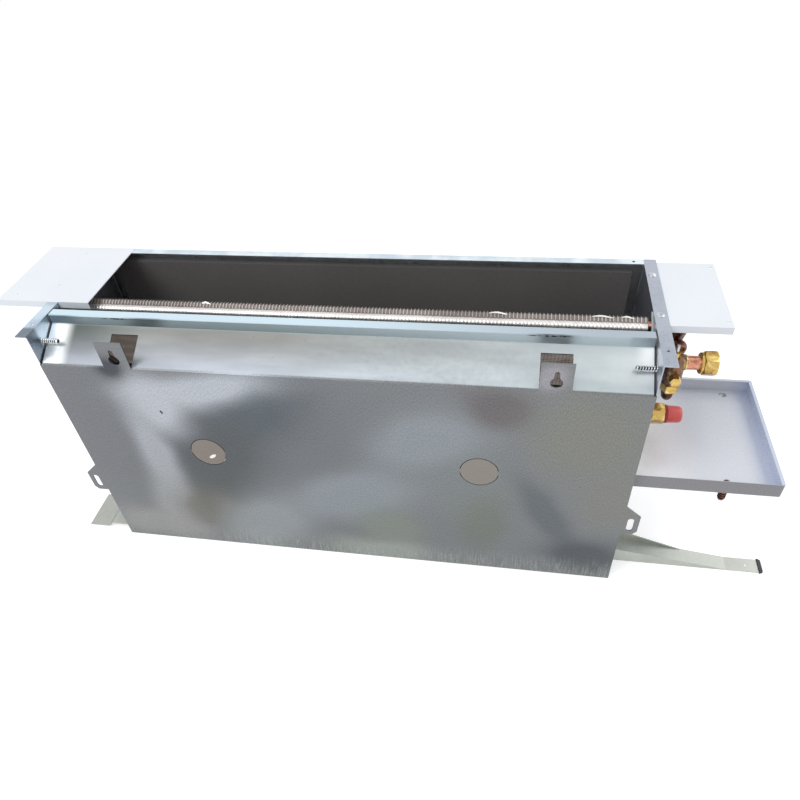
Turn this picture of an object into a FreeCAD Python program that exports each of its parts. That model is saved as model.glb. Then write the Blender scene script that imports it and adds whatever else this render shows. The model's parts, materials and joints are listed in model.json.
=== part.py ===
import FreeCAD, Part
import math
import os
import re
import Sketcher

# Concealed fan coil unit: a folded galvanised casing with a slanted finned coil above
# two blowers on one motor, pipework and a drip tray on the right end.
# X runs along the unit, Y from the wall face to the room face, Z up from the floor edge.

SIZES = (
    # casing
    ("chassis_width", 740), ("chassis_depth", 217), ("chassis_height", 386),
    ("sheet_thickness", 1.2), ("end_flange", 15), ("rail_width", 12), ("panel_hem", 12),
    ("shoulder_base", 344), ("shoulder_reach", 49), ("shoulder_top", 373), ("shoulder_gap", 2),
    ("tab_spacing", 528), ("tab_width", 36), ("tab_height", 39),
    ("window_reach", 39), ("keyhole_drop", 27), ("keyhole_round", 11), ("keyhole_slot", 5.5),
    ("keyhole_slot_length", 13),
    ("knockout_spacing", 366), ("knockout_height", 204), ("knockout_diameter", 50),
    ("knockout_slit", 1), ("knockout_tie", 7),
    ("ear_reach", 20), ("ear_root_top", 159), ("ear_tip_top", 141), ("ear_tip_bottom", 102),
    ("ear_root_bottom", 92), ("ear_hole_height", 130), ("ear_hole_width", 8),
    ("ear_hole_length", 12), ("ear_hole_inset", 10),
    ("front_gap", 16), ("foam_thickness", 10), ("foam_inset", 12), ("foam_top_gap", 12),
    # coil
    ("coil_back", 67), ("coil_base", 360), ("coil_tilt", 30), ("coil_length", 150),
    ("coil_width", 40), ("tube_diameter", 9.52), ("tube_rows_pitch", 20), ("tube_pitch", 25),
    ("tube_first", 6.25), ("fin_pitch", 12), ("fin_thickness", 0.3), ("fin_end_gap", 4),
    ("end_sheet_thickness", 1.5), ("end_sheet_margin", 3), ("bend_clearance", 4),
    ("header_reach", 32), ("header_diameter", 18), ("header_overrun", 10), ("braze_depth", 3),
    # blowers and motor
    ("shaft_depth", 114), ("shaft_height", 104), ("shaft_diameter", 12), ("shaft_overrun", 8),
    ("impeller_radius", 62), ("impeller_width", 160), ("blade_depth", 12), ("blade_count", 28),
    ("blade_thickness", 1), ("impeller_rim", 4), ("impeller_disc", 3), ("hub_radius", 14),
    ("hub_width", 24), ("tongue_gap", 8), ("scroll_growth", 10), ("scroll_wall", 1.5),
    ("scroll_side_gap", 5), ("tongue_angle", 20), ("inlet_lip", 8),
    ("deck_height", 190), ("motor_radius", 46), ("motor_length", 90), ("motor_boss_radius", 17),
    ("motor_bell_radius", 34), ("motor_bell_length", 12), ("motor_boss_length", 16),
    ("rubber_thickness", 6), ("rubber_width", 10), ("bracket_thickness", 2),
    ("bracket_depth", 70), ("running_clearance", 0.4),
    # drain pan and drip tray
    ("pan_back", 127), ("pan_front_gap", 2), ("pan_padding", 18), ("pan_rear_lip", 16),
    ("pan_front_lip", 28), ("pan_end_gap", 4), ("spout_radius", 7), ("spout_wall", 1),
    ("spout_depth", 190), ("spout_reach", 18),
    ("tray_reach", 174), ("tray_back", 10), ("tray_front", 207), ("tray_rim", 208),
    ("tray_depth", 20), ("tray_hem", 4), ("tray_radius", 3), ("tray_hole_inset", 35),
    ("tray_hole_depth", 195), ("tray_hole_diameter", 10), ("spigot_inset", 58),
    ("spigot_back", 18), ("spigot_radius", 5), ("spigot_bore", 3.4), ("spigot_drop", 30),
    # filter
    ("filter_base", 4), ("filter_thickness", 6), ("filter_rim", 14), ("filter_back", 4),
    ("filter_mesh_thickness", 0.8), ("filter_rib", 3), ("filter_ribs", 5), ("rail_reach", 14),
    ("rail_sheet", 1), ("filter_tab", 26),
    # covers, arms and fixings
    ("cover_sheet", 1), ("cover_fold", 9), ("right_cover_reach", 83), ("right_cover_back", 75),
    ("right_cover_front", 212), ("left_cover_back", 76), ("left_cover_reach", 88),
    ("left_cover_inner", 43), ("cover_hole_radius", 1.8),
    ("arm_sheet", 1.5), ("arm_back", 33), ("arm_width", 22), ("arm_root_height", 27),
    ("arm_slope_reach", 164), ("arm_reach", 212), ("arm_lip", 20), ("arm_lip_reach", 104),
    ("arm_foot", 44), ("arm_hole_radius", 2), ("arm_hole_inset", 20), ("arm_cap_length", 9), ("arm_cap_wall", 1.6),
    ("foot_reach", 77), ("foot_back", 8), ("foot_front", 72), ("foot_step", 34),
    ("foot_rise", 9), ("foot_root", 30),
    ("thread_screw_depth", 22), ("thread_screw_height", 365), ("thread_screw_radius", 3.2),
    ("thread_screw_length", 24), ("screw_head_radius", 4.5), ("screw_head_height", 2.4),
    ("screw_radius", 1.9), ("flange_screw_front", 180), ("flange_screw_back", 94),
    ("flange_screw_inset", 7), ("flange_hole_back", 27),
    # connections
    ("pipe_radius", 8), ("valve_reach", 27.5), ("valve_depth", 62), ("union_height", 345),
    ("union_nut_start", 52), ("union_nut_length", 20), ("union_nut_flats", 30),
    ("union_thread_radius", 13.2), ("union_seat_radius", 11), ("union_seat_length", 3),
    ("valve_radius", 10), ("valve_base", 316), ("gland_flats", 20), ("gland_height", 10),
    ("vent_reach", 25.5), ("vent_body_radius", 4.5), ("vent_body_height", 6),
    ("vent_screw_radius", 1.8), ("vent_screw_height", 9), ("bonnet_flats", 11), ("bonnet_rise", 13),
    ("bonnet_length", 8), ("riser_radius", 6),
    ("lower_depth", 100), ("lower_height", 232), ("lower_start", 25), ("lower_hex_length", 15),
    ("lower_hex_flats", 24), ("lower_thread_radius", 10), ("lower_thread_length", 16),
    ("cap_radius", 11.4), ("cap_length", 29), ("cap_wall", 1.7), ("cap_ribs", 14),
    ("cap_rib_height", 0.8), ("cap_rib_width", 2),
    # electrical box
    ("box_back", 108), ("box_depth", 80), ("box_base", 70), ("box_height", 130),
    ("box_reach", 38), ("box_wall", 2), ("terminal_pitch", 9),
    ("terminal_count", 8), ("terminal_height", 14), ("terminal_depth", 22),
    ("gland_radius", 10), ("gland_length", 14),
)

doc = FreeCAD.newDocument("FanCoilUnit")
sheet = doc.addObject("Spreadsheet::Sheet", "Sizes")
for row, (alias, number) in enumerate(SIZES, 1):
    sheet.set(f"A{row}", alias.replace("_", " "))
    sheet.set(f"B{row}", str(number))
    sheet.setAlias(f"B{row}", alias)
doc.recompute()

NAMES = re.compile(r"\b[a-z]+(?:_[a-z]+)+\b")
PLANES = {"x": "YZ_Plane", "y": "XZ_Plane", "z": "XY_Plane"}
PARTS = []


def spell(text):
    """Formula in sheet names, written out as the document reads it."""
    return NAMES.sub(lambda word: "Sizes." + word.group(), str(text))


def value(text):
    return float(sheet.evalExpression(spell(text)))


def bind(thing, path, text):
    thing.setExpression(path, spell(text))


def body(label):
    made = doc.addObject("PartDesign::Body", label)
    made.Label = label
    made.AllowCompound = True
    PARTS.append(made)
    return made


def shaped(label, shape):
    """A piece whose form comes from curves worked out below."""
    made = doc.addObject("Part::Feature", label)
    made.Label = label
    made.Shape = shape
    made.Placement = shape.Placement
    PARTS.append(made)
    return made


def vector(x, y, z):
    return FreeCAD.Vector(value(x), value(y), value(z))


def outline(sketch, points):
    """Closed polygon, each corner held by its two distances from the origin."""
    first = sketch.GeometryCount
    count = len(points)
    corners = [FreeCAD.Vector(value(u), value(v), 0) for u, v in points]
    for index in range(count):
        line = Part.LineSegment(corners[index], corners[(index + 1) % count])
        sketch.addGeometry(line, False)
    for index in range(count):
        following = first + (index + 1) % count
        sketch.addConstraint(Sketcher.Constraint("Coincident", first + index, 2, following, 1))
    for index, (u, v) in enumerate(points):
        for kind, text in (("DistanceX", u), ("DistanceY", v)):
            datum = Sketcher.Constraint(kind, -1, 1, first + index, 1, value(text))
            bind(sketch, f"Constraints[{sketch.addConstraint(datum)}]", text)


def ring(sketch, u, v, radius):
    centre = FreeCAD.Vector(value(u), value(v), 0)
    made = sketch.addGeometry(Part.Circle(centre, FreeCAD.Vector(0, 0, 1), value(radius)), False)
    for kind, text in (("DistanceX", u), ("DistanceY", v)):
        datum = Sketcher.Constraint(kind, -1, 1, made, 3, value(text))
        bind(sketch, f"Constraints[{sketch.addConstraint(datum)}]", text)
    size = sketch.addConstraint(Sketcher.Constraint("Radius", made, value(radius)))
    bind(sketch, f"Constraints[{size}]", radius)


def drawn(owner, name, axis, level, loops):
    """Sketch square to an axis: a loop is a list of corners or one (u, v, radius)."""
    sketch = owner.newObject("Sketcher::SketchObject", name + "_sketch")
    plane = next(o for o in owner.Origin.OriginFeatures if o.Role == PLANES[axis])
    sketch.AttachmentSupport = (plane, [""])
    sketch.MapMode = "FlatFace"
    sign = "-1 * " if axis == "y" else ""
    bind(sketch, ".AttachmentOffset.Base.z", f"{sign}({level})")
    for loop in loops:
        if isinstance(loop, tuple):
            ring(sketch, *loop)
        else:
            outline(sketch, loop)
    return sketch


def pad(owner, name, axis, low, high, *loops):
    sketch = drawn(owner, name, axis, high if axis == "y" else low, loops)
    made = owner.newObject("PartDesign::Pad", name)
    made.Profile = sketch
    bind(made, "Length", f"({high}) - ({low})")
    doc.recompute()
    return made


def cut(owner, name, axis, low, high, *loops):
    before = owner.Shape.Volume
    sketch = drawn(owner, name, axis, low if axis == "y" else high, loops)
    made = owner.newObject("PartDesign::Pocket", name)
    made.Profile = sketch
    bind(made, "Length", f"({high}) - ({low})")
    doc.recompute()
    if owner.Shape.Volume > before - 0.01:
        raise RuntimeError(name + " removes nothing")
    return made


def around(owner, feature, count, centre):
    """Copies of a feature spaced evenly about a line along X through a centre."""
    line = owner.newObject("PartDesign::Line", "turning_line")
    line.Placement.Rotation = FreeCAD.Rotation(FreeCAD.Vector(0, 0, 1), FreeCAD.Vector(1, 0, 0))
    bind(line, ".Placement.Base.y", centre[0])
    bind(line, ".Placement.Base.z", centre[1])
    copies = owner.newObject("PartDesign::PolarPattern", feature.Name + "_row")
    copies.Originals = [feature]
    copies.Axis = (line, [""])
    copies.Angle = 360
    bind(copies, "Occurrences", count)
    owner.Tip = copies
    doc.recompute()


def box(u0, v0, u1, v1):
    return [(u0, v0), (u1, v0), (u1, v1), (u0, v1)]


def span(side, near, far):
    """Low and high ends of a stretch that is given for the right-hand side."""
    if side > 0:
        return near, far
    return f"-1 * ({far})", f"-1 * ({near})"


def mirrored(side, points):
    return [(f"{side} * ({u})", v) for u, v in points]


def hexagon(u, v, flats):
    """Corners of a nut with two flats level."""
    corners = []
    for turn in range(6):
        corners.append((f"{u} + {flats} / sqrt(3) * cos({60 * turn})",
                        f"{v} + {flats} / sqrt(3) * sin({60 * turn})"))
    return corners


HALF = "chassis_width / 2"
OUTER = "(chassis_width / 2 + sheet_thickness)"
INSIDE_FRONT = "(chassis_depth - sheet_thickness)"
TOP = "chassis_height"
UNDER_TOP = "(chassis_height - sheet_thickness)"
DECK_TOP = "(deck_height + sheet_thickness)"
SIDES = (("left", -1), ("right", 1))


def back_panel():
    panel = body("back_panel")
    edge = OUTER
    ear = [(f"{edge} + ear_reach - sheet_thickness", "ear_tip_top"),
           (f"{edge} + ear_reach - sheet_thickness", "ear_tip_bottom"),
           (edge, "ear_root_bottom")]
    right = [(edge, "ear_root_top"), (f"{edge} + ear_reach - 6 * sheet_thickness",
                                      "ear_root_top - 11")] + ear
    face = [(f"{edge}", "0"), (f"{edge}", "shoulder_base"), (f"-1 * {edge}", "shoulder_base"),
            (f"-1 * {edge}", "0")]
    right.reverse()
    face = [face[0]] + right + [face[1], face[2]] + [
        (f"-1 * ({u})", v) for u, v in reversed(right)] + [face[3]]
    pad(panel, "wall_face", "y", "0", "sheet_thickness", face)
    rise = "(shoulder_top - shoulder_base) / shoulder_reach"
    skin = f"sheet_thickness * sqrt(1 + ({rise}) ^ 2)"
    shoulder = [("0", "shoulder_base"), ("shoulder_reach", "shoulder_top"),
                ("shoulder_reach", TOP),
                ("shoulder_reach + rail_width", TOP),
                ("shoulder_reach + rail_width", UNDER_TOP),
                ("shoulder_reach + sheet_thickness", UNDER_TOP),
                ("shoulder_reach + sheet_thickness",
                 f"shoulder_top + sheet_thickness * ({rise}) - {skin}"),
                ("sheet_thickness", f"shoulder_base + sheet_thickness * ({rise}) - {skin}"),
                ("sheet_thickness", f"shoulder_base - 3 * sheet_thickness"),
                ("0", f"shoulder_base - 3 * sheet_thickness")]
    reach = f"({HALF} - shoulder_gap)"
    pad(panel, "shoulder", "x", f"-1 * {reach}", reach, shoulder)
    pad(panel, "bottom_hem", "z", "0", "sheet_thickness",
        box(f"-1 * {reach}", "0", reach, "panel_hem"))
    windows = []
    for side in (-1, 1):
        middle = f"{side} * tab_spacing / 2"
        windows.append(box(f"{middle} - tab_width / 2", "sheet_thickness",
                           f"{middle} + tab_width / 2", "window_reach"))
    cut(panel, "tab_windows", "z", "shoulder_base - 2 * sheet_thickness", "shoulder_top",
        *windows)
    tabs = []
    for side in (-1, 1):
        middle = f"{side} * tab_spacing / 2"
        tabs.append(box(f"{middle} - tab_width / 2", "shoulder_base - sheet_thickness",
                        f"{middle} + tab_width / 2", "shoulder_base + tab_height"))
    pad(panel, "hanging_tabs", "y", "0", "sheet_thickness", *tabs)
    rounds, slots, ends = [], [], []
    top = "shoulder_base + tab_height - keyhole_drop"
    for side in (-1, 1):
        middle = f"{side} * tab_spacing / 2"
        rounds.append((middle, top, "keyhole_round / 2"))
        slots.append(box(f"{middle} - keyhole_slot / 2", top, f"{middle} + keyhole_slot / 2",
                         f"{top} + keyhole_slot_length"))
        ends.append((middle, f"{top} + keyhole_slot_length", "keyhole_slot / 2"))
    cut(panel, "keyhole_rounds", "y", "0", "sheet_thickness", *rounds)
    cut(panel, "keyhole_slots", "y", "0", "sheet_thickness", *slots)
    cut(panel, "keyhole_ends", "y", "0", "sheet_thickness", *ends)
    for side in (-1, 1):
        middle = f"{side} * ({HALF} + ear_hole_inset)"
        half = "(ear_hole_length - ear_hole_width) / 2"
        cut(panel, "ear_slot", "y", "0", "sheet_thickness",
            box(f"{middle} - {half}", "ear_hole_height - ear_hole_width / 2",
                f"{middle} + {half}", "ear_hole_height + ear_hole_width / 2"))
        for end in (-1, 1):
            cut(panel, "ear_slot_end", "y", "0", "sheet_thickness",
                (f"{middle} + {end} * {half}", "ear_hole_height", "ear_hole_width / 2"))
    knockouts(panel)


def knockouts(panel):
    """Two slit circles, each slug held by a tie left and right."""
    outer = "knockout_diameter / 2"
    for side in (-1, 1):
        middle = f"{side} * knockout_spacing / 2"
        for half in (-1, 1):
            sketch = drawn(panel, "knockout", "y", "0", [])
            centre = FreeCAD.Vector(value(middle), value("knockout_height"), 0)
            tie = math.asin(value("knockout_tie") / value("knockout_diameter"))
            start, end = (tie, math.pi - tie) if half > 0 else (math.pi + tie, 2 * math.pi - tie)
            arcs = []
            for size in (outer, f"{outer} - knockout_slit"):
                circle = Part.Circle(centre, FreeCAD.Vector(0, 0, 1), value(size))
                arc = sketch.addGeometry(Part.ArcOfCircle(circle, start, end), False)
                arcs.append(arc)
                for kind, text in (("DistanceX", middle), ("DistanceY", "knockout_height")):
                    datum = Sketcher.Constraint(kind, -1, 1, arc, 3, value(text))
                    bind(sketch, f"Constraints[{sketch.addConstraint(datum)}]", text)
                number = sketch.addConstraint(Sketcher.Constraint("Radius", arc, value(size)))
                bind(sketch, f"Constraints[{number}]", size)
            for point in (1, 2):
                a = sketch.getPoint(arcs[0], point)
                b = sketch.getPoint(arcs[1], point)
                line = sketch.addGeometry(Part.LineSegment(a, b), False)
                sketch.addConstraint(Sketcher.Constraint("Coincident", line, 1, arcs[0], point))
                sketch.addConstraint(Sketcher.Constraint("Coincident", line, 2, arcs[1], point))
                sketch.addConstraint(Sketcher.Constraint("Horizontal", line))
            low = "knockout_height + knockout_tie / 2 * " + str(half)
            datum = Sketcher.Constraint("DistanceY", -1, 1, arcs[0], 1, value(low))
            bind(sketch, f"Constraints[{sketch.addConstraint(datum)}]", low)
            datum = Sketcher.Constraint("DistanceY", -1, 1, arcs[0], 2, value(low))
            bind(sketch, f"Constraints[{sketch.addConstraint(datum)}]", low)
            made = panel.newObject("PartDesign::Pocket", "knockout_slit")
            made.Profile = sketch
            bind(made, "Length", "sheet_thickness")
            doc.recompute()


def front_panel():
    panel = body("front_panel")
    pad(panel, "room_face", "y", INSIDE_FRONT, "chassis_depth",
        box(f"-1 * {OUTER}", "front_gap", OUTER, TOP))
    rim = [("chassis_depth - rail_width", TOP), (INSIDE_FRONT, TOP), (INSIDE_FRONT, UNDER_TOP),
           ("chassis_depth - rail_width", UNDER_TOP)]
    hem = box("chassis_depth - rail_width", "front_gap", INSIDE_FRONT,
              "front_gap + sheet_thickness")
    reach = f"({HALF})"
    pad(panel, "rail_and_hem", "x", f"-1 * {reach}", reach, rim, hem)
    for side in (-1, 1):
        low, high = span(side, f"{HALF} - sheet_thickness", HALF)
        pad(panel, "end_hem", "x", low, high,
            box("chassis_depth - panel_hem", "front_gap", INSIDE_FRONT, TOP))
    holes = [(f"{side} * ({HALF} - panel_hem)", "chassis_depth - rail_width / 2",
              "screw_radius") for side in (-1, 1)]
    cut(panel, "rail_holes", "z", UNDER_TOP, TOP, *holes)


def end_plate(name, side):
    plate = body("end_plate_" + name)
    low, high = span(side, HALF, OUTER)
    pad(plate, "web", "x", low, high, box("sheet_thickness", "0", INSIDE_FRONT, TOP))
    near, far = span(side, OUTER, f"{HALF} + end_flange")
    pad(plate, "top_flange", "x", near, far, box("0", UNDER_TOP, "chassis_depth", TOP))
    pad(plate, "flange_corner", "x", low, high, box("0", UNDER_TOP, "sheet_thickness", TOP))
    cut(plate, "coil_opening", "x", low, high, coil_corners("0", 1))
    if side > 0:
        cut(plate, "spout_hole", "x", low, high,
            ("spout_depth", SPOUT_HEIGHT, "spout_radius + running_clearance"))
    inset = f"{side} * ({HALF} + flange_screw_inset)"
    cut(plate, "flange_holes", "z", UNDER_TOP, TOP,
        (inset, "flange_screw_front", "screw_radius"),
        (inset, "flange_screw_back", "screw_radius"), (inset, "flange_hole_back", "screw_radius"))
    cut(plate, "thread_screw_hole", "x", low, high,
        ("thread_screw_depth", "thread_screw_height", "thread_screw_radius"))


# The coil leans: "along" runs down the slant, "across" from its rear to its front face.
def coil_point(along, across):
    return (f"coil_back + ({across}) * cos(coil_tilt) + ({along}) * sin(coil_tilt)",
            f"coil_base + ({across}) * sin(coil_tilt) - ({along}) * cos(coil_tilt)")


def coil_corners(margin, grow):
    """Corners of the coil's slanted section, grown or shrunk by a margin."""
    out = f"({grow} * {margin})"
    return [coil_point(f"0 - {out}", f"0 - {out}"),
            coil_point(f"coil_length + {out}", f"0 - {out}"),
            coil_point(f"coil_length + {out}", f"coil_width + {out}"),
            coil_point(f"0 - {out}", f"coil_width + {out}")]


def tube_place(row, number):
    """Tube centre in the slanted section: rows are staggered by half a pitch."""
    stagger = "tube_pitch / 2" if row == 0 else "0"
    return coil_point(f"tube_first + {stagger} + {number} * tube_pitch",
                      f"coil_width / 2 + ({row} - 0.5) * tube_rows_pitch")


def coil():
    fins = body("coil_fins")
    reach = f"({HALF} - fin_end_gap)"
    first = pad(fins, "fin", "x", f"-1 * {reach}", f"-1 * {reach} + fin_thickness",
                coil_corners("0", 1))
    row = fins.newObject("PartDesign::LinearPattern", "fin_row")
    row.Originals = [first]
    axis = next(o for o in fins.Origin.OriginFeatures if o.Role == "X_Axis")
    row.Direction = (axis, [""])
    bind(row, "Length", f"2 * {reach} - fin_thickness")
    bind(row, "Occurrences", f"floor((2 * {reach}) / fin_pitch) + 1")
    fins.Tip = row
    for name, side in SIDES:
        sheet_end = body("coil_end_sheet_" + name)
        low, high = span(side, f"{HALF} - end_sheet_thickness", HALF)
        pad(sheet_end, "web", "x", low, high, coil_corners("end_sheet_margin", 1))
    circuits = [circuit(number) for number in (0, 2, 4)]
    shaped("coil_tubes", Part.makeCompound(circuits))
    for label, row_number in (("return_header", 0), ("supply_header", 1)):
        header(label, row_number)


def circuit(number):
    """One water path: out along the rear row, back, across, out and back on the front row."""
    bend_at = value(f"{OUTER} + bend_clearance")
    end = value(f"{OUTER} + header_reach - header_diameter / 2 + braze_depth")
    rear = [FreeCAD.Vector(0, *(value(t) for t in tube_place(0, n)))
            for n in (number, number + 1)]
    front = [FreeCAD.Vector(0, *(value(t) for t in tube_place(1, n)))
             for n in (number + 1, number)]
    tubes = [rear[0], rear[1], front[0], front[1]]
    side = FreeCAD.Vector(1, 0, 0)
    edges = []
    for index, tube in enumerate(tubes):
        start = end if index == 0 else (-bend_at if index % 2 else bend_at)
        stop = end if index == 3 else (bend_at if index % 2 else -bend_at)
        edges.append(Part.LineSegment(tube + side * start, tube + side * stop).toShape())
        if index < 3:
            following = tubes[index + 1]
            out = 1 if index % 2 else -1
            middle = (tube + following) * 0.5
            apex = middle + side * (stop + out * (following - tube).Length / 2)
            edges.append(Part.Arc(tube + side * stop, apex, following + side * stop).toShape())
    return swept(Part.Wire(edges), value("tube_diameter / 2"))


def swept(path, radius):
    """Round bar along a path."""
    start = path.Edges[0]
    direction = start.tangentAt(start.FirstParameter)
    circle = Part.Circle(start.valueAt(start.FirstParameter), direction, radius)
    return path.makePipeShell([Part.Wire(circle.toShape())], True, False)


def rounded(points, bend):
    """Straight runs joined by tangent arcs of one radius."""
    edges = []
    start = points[0]
    for index in range(1, len(points) - 1):
        before = (points[index - 1] - points[index]).normalize()
        after = (points[index + 1] - points[index]).normalize()
        half = before.getAngle(after) / 2
        back = bend / math.tan(half)
        first = points[index] + before * back
        last = points[index] + after * back
        centre = points[index] + (before + after).normalize() * (bend / math.sin(half))
        middle = centre + (points[index] - centre).normalize() * bend
        if (first - start).Length > 0.001:
            edges.append(Part.LineSegment(start, first).toShape())
        edges.append(Part.Arc(first, middle, last).toShape())
        start = last
    edges.append(Part.LineSegment(start, points[-1]).toShape())
    return Part.Wire(edges)


def header(label, row):
    """Straight collecting pipe across three tube ends, domed at the top."""
    first = tube_place(row, 0)
    last = tube_place(row, 4)
    reach = value(f"{OUTER} + header_reach")
    low = FreeCAD.Vector(reach, value(last[0]), value(last[1]))
    high = FreeCAD.Vector(reach, value(first[0]), value(first[1]))
    run = (high - low).normalize()
    over = value("header_overrun")
    radius = value("header_diameter / 2")
    tube = Part.makeCylinder(radius, (high - low).Length + over, low - run * over, run)
    shaped(label, tube.fuse(Part.makeSphere(radius, high)).removeSplitter())


def pan_and_tray():
    padding = body("drain_pan_insulation")
    end = f"({HALF} - pan_end_gap)"
    pad(padding, "block", "z", DECK_TOP, PAN_BASE,
        box(f"-1 * {end}", "pan_back", end, PAN_FRONT))
    pan = body("drain_pan")
    pad(pan, "outside", "x", f"-1 * {end}", end,
        [("pan_back", PAN_BASE), (PAN_FRONT, PAN_BASE),
         (PAN_FRONT, f"{PAN_BASE} + pan_front_lip"), ("pan_back", f"{PAN_BASE} + pan_rear_lip")])
    wall = "sheet_thickness"
    rise = "(pan_front_lip - pan_rear_lip)"
    cut(pan, "inside", "x", f"-1 * {end} + {wall}", f"{end} - {wall}",
        [(f"pan_back + {wall}", f"{PAN_BASE} + {wall}"),
         (f"{PAN_FRONT} - {wall}", f"{PAN_BASE} + {wall}"),
         (f"{PAN_FRONT} - {wall}", f"{PAN_BASE} + pan_front_lip + {rise}"),
         (f"pan_back + {wall}", f"{PAN_BASE} + pan_rear_lip + {rise}")])
    cut(pan, "spout_hole", "x", f"{end} - {wall}", end,
        ("spout_depth", SPOUT_HEIGHT, "spout_radius"))
    spout = body("drain_spout")
    pad(spout, "pipe", "x", f"{end} - {wall}", f"{OUTER} + spout_reach",
        ("spout_depth", SPOUT_HEIGHT, "spout_radius"),
        ("spout_depth", SPOUT_HEIGHT, "spout_radius - spout_wall"))
    tray = body("drip_tray")
    far = f"({OUTER} + tray_reach)"
    floor = "(tray_rim - tray_depth)"
    pad(tray, "outside", "z", floor, "tray_rim", box(OUTER, "tray_back", far, "tray_front"))
    corners = tray.newObject("PartDesign::Fillet", "corner_rounds")
    base = tray.Tip if tray.Tip != corners else tray.Group[-2]
    upright = []
    for number, edge in enumerate(base.Shape.Edges, 1):
        low, high = edge.Vertexes[0].Point, edge.Vertexes[-1].Point
        if abs(low.z - high.z) > 1 and low.x > value(OUTER) + 1:
            upright.append(f"Edge{number}")
    corners.Base = (base, upright)
    bind(corners, "Radius", "tray_radius")
    doc.recompute()
    cut(tray, "inside", "z", f"{floor} + {wall}", "tray_rim",
        box(f"{OUTER} + {wall}", f"tray_back + {wall}", f"{far} - {wall}",
            f"tray_front - {wall}"))
    pad(tray, "rolled_rim", "z", f"tray_rim - {wall}", "tray_rim",
        box(f"{far} - tray_hem", f"tray_back + {wall}", f"{far} - {wall}",
            f"tray_front - {wall}"),
        box(f"{OUTER} + {wall}", f"tray_front - tray_hem", f"{far} - tray_hem",
            f"tray_front - {wall}"))
    spigot_at = (f"{far} - spigot_inset", "tray_back + spigot_back")
    cut(tray, "drain_holes", "z", floor, f"{floor} + {wall}",
        (*spigot_at, "spigot_radius - spout_wall"),
        (f"{far} - tray_hole_inset", "tray_hole_depth", "tray_hole_diameter / 2"))
    drain_spigot(spigot_at, floor)


def drain_spigot(place, floor):
    """Barbed hose tail under the tray, turned about its own axis."""
    centre = vector(place[0], place[1], floor)
    bore, outer = value("spigot_bore"), value("spigot_radius")
    drop = value("spigot_drop")
    barb = drop / 8
    profile = [(bore, 0), (outer + 2, 0), (outer + 2, -2), (outer - 1.2, -2)]
    for number in range(3):
        top = -drop + (3 - number) * barb
        profile += [(outer - 1.2, top), (outer, top), (outer - 1.2, top - barb)]
    profile += [(bore, -drop)]
    corners = [FreeCAD.Vector(r, 0, level) for r, level in profile]
    face = Part.Face(Part.makePolygon(corners + corners[:1]))
    turned = face.revolve(FreeCAD.Vector(), FreeCAD.Vector(0, 0, 1), 360)
    turned.translate(centre)
    shaped("drain_spigot", turned)


PAN_BASE = f"({DECK_TOP} + pan_padding)"
PAN_FRONT = "(chassis_depth - sheet_thickness - foam_thickness - pan_front_gap)"
SPOUT_HEIGHT = f"({PAN_BASE} + sheet_thickness + spout_radius)"


def insulation():
    foam = body("front_insulation")
    end = f"({HALF} - foam_inset)"
    pad(foam, "sheet", "y", f"{INSIDE_FRONT} - foam_thickness", INSIDE_FRONT,
        box(f"-1 * {end}", DECK_TOP, end, f"{UNDER_TOP} - foam_top_gap"))


def fan_deck():
    deck = body("fan_deck")
    reach = HALF
    pad(deck, "plate", "z", "deck_height", DECK_TOP,
        box(f"-1 * {reach}", "sheet_thickness", reach, INSIDE_FRONT))
    rear = box("sheet_thickness", "deck_height - panel_hem", "2 * sheet_thickness",
               "deck_height")
    front = box(f"{INSIDE_FRONT} - sheet_thickness", "deck_height - panel_hem", INSIDE_FRONT,
                "deck_height")
    inner = f"({HALF} - sheet_thickness)"
    pad(deck, "hems", "x", f"-1 * {inner}", inner, rear, front)
    outlets = []
    for side in (-1, 1):
        middle = f"{side} * knockout_spacing / 2"
        half = "(impeller_width / 2 + scroll_side_gap)"
        outlets.append(box(f"{middle} - {half}", f"{SCROLL_BACK} + scroll_wall",
                           f"{middle} + {half}", f"{TONGUE_DEPTH} - scroll_wall"))
    cut(deck, "outlets", "z", "deck_height", DECK_TOP, *outlets)
    corners = []
    for side in (-1, 1):
        low, high = span(side, f"{HALF} - sheet_thickness", HALF)
        corners.append(box(low, "chassis_depth - panel_hem", high, INSIDE_FRONT))
    cut(deck, "corner_notches", "z", "deck_height", DECK_TOP, *corners)


FIRST_RADIUS = "(impeller_radius + tongue_gap)"
SCROLL_BACK = f"(shaft_depth - 3 * scroll_growth - {FIRST_RADIUS})"
TONGUE_DEPTH = f"(shaft_depth - {FIRST_RADIUS} * sin(tongue_angle))"


def volute(inset, top):
    """Scroll outline from quarter arcs whose radius grows at each quarter."""
    growth = value("scroll_growth")
    radius = value(FIRST_RADIUS) - inset
    centre = FreeCAD.Vector(0, value("shaft_depth"), value("shaft_height"))
    lead = value("tongue_angle")

    def around(middle, size, degrees):
        turn = math.radians(degrees)
        return middle + FreeCAD.Vector(0, size * math.cos(turn), size * math.sin(turn))

    edges = []
    tongue = around(centre, radius, 90 + lead)
    edges.append(Part.Arc(tongue, around(centre, radius, 45 + lead / 2),
                          around(centre, radius, 0)).toShape())
    steps = ((FreeCAD.Vector(0, 1, 0), 0), (FreeCAD.Vector(0, 0, -1), -90))
    for junction, start in steps:
        centre = centre - junction * growth
        radius += growth
        edges.append(Part.Arc(around(centre, radius, start), around(centre, radius, start - 45),
                              around(centre, radius, start - 90)).toShape())
    wall = around(centre, radius, -180)
    rear_top = FreeCAD.Vector(0, wall.y, top)
    front_top = FreeCAD.Vector(0, tongue.y, top)
    edges.append(Part.LineSegment(wall, rear_top).toShape())
    edges.append(Part.LineSegment(rear_top, front_top).toShape())
    edges.append(Part.LineSegment(front_top, tongue).toShape())
    return Part.Wire(edges)


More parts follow.
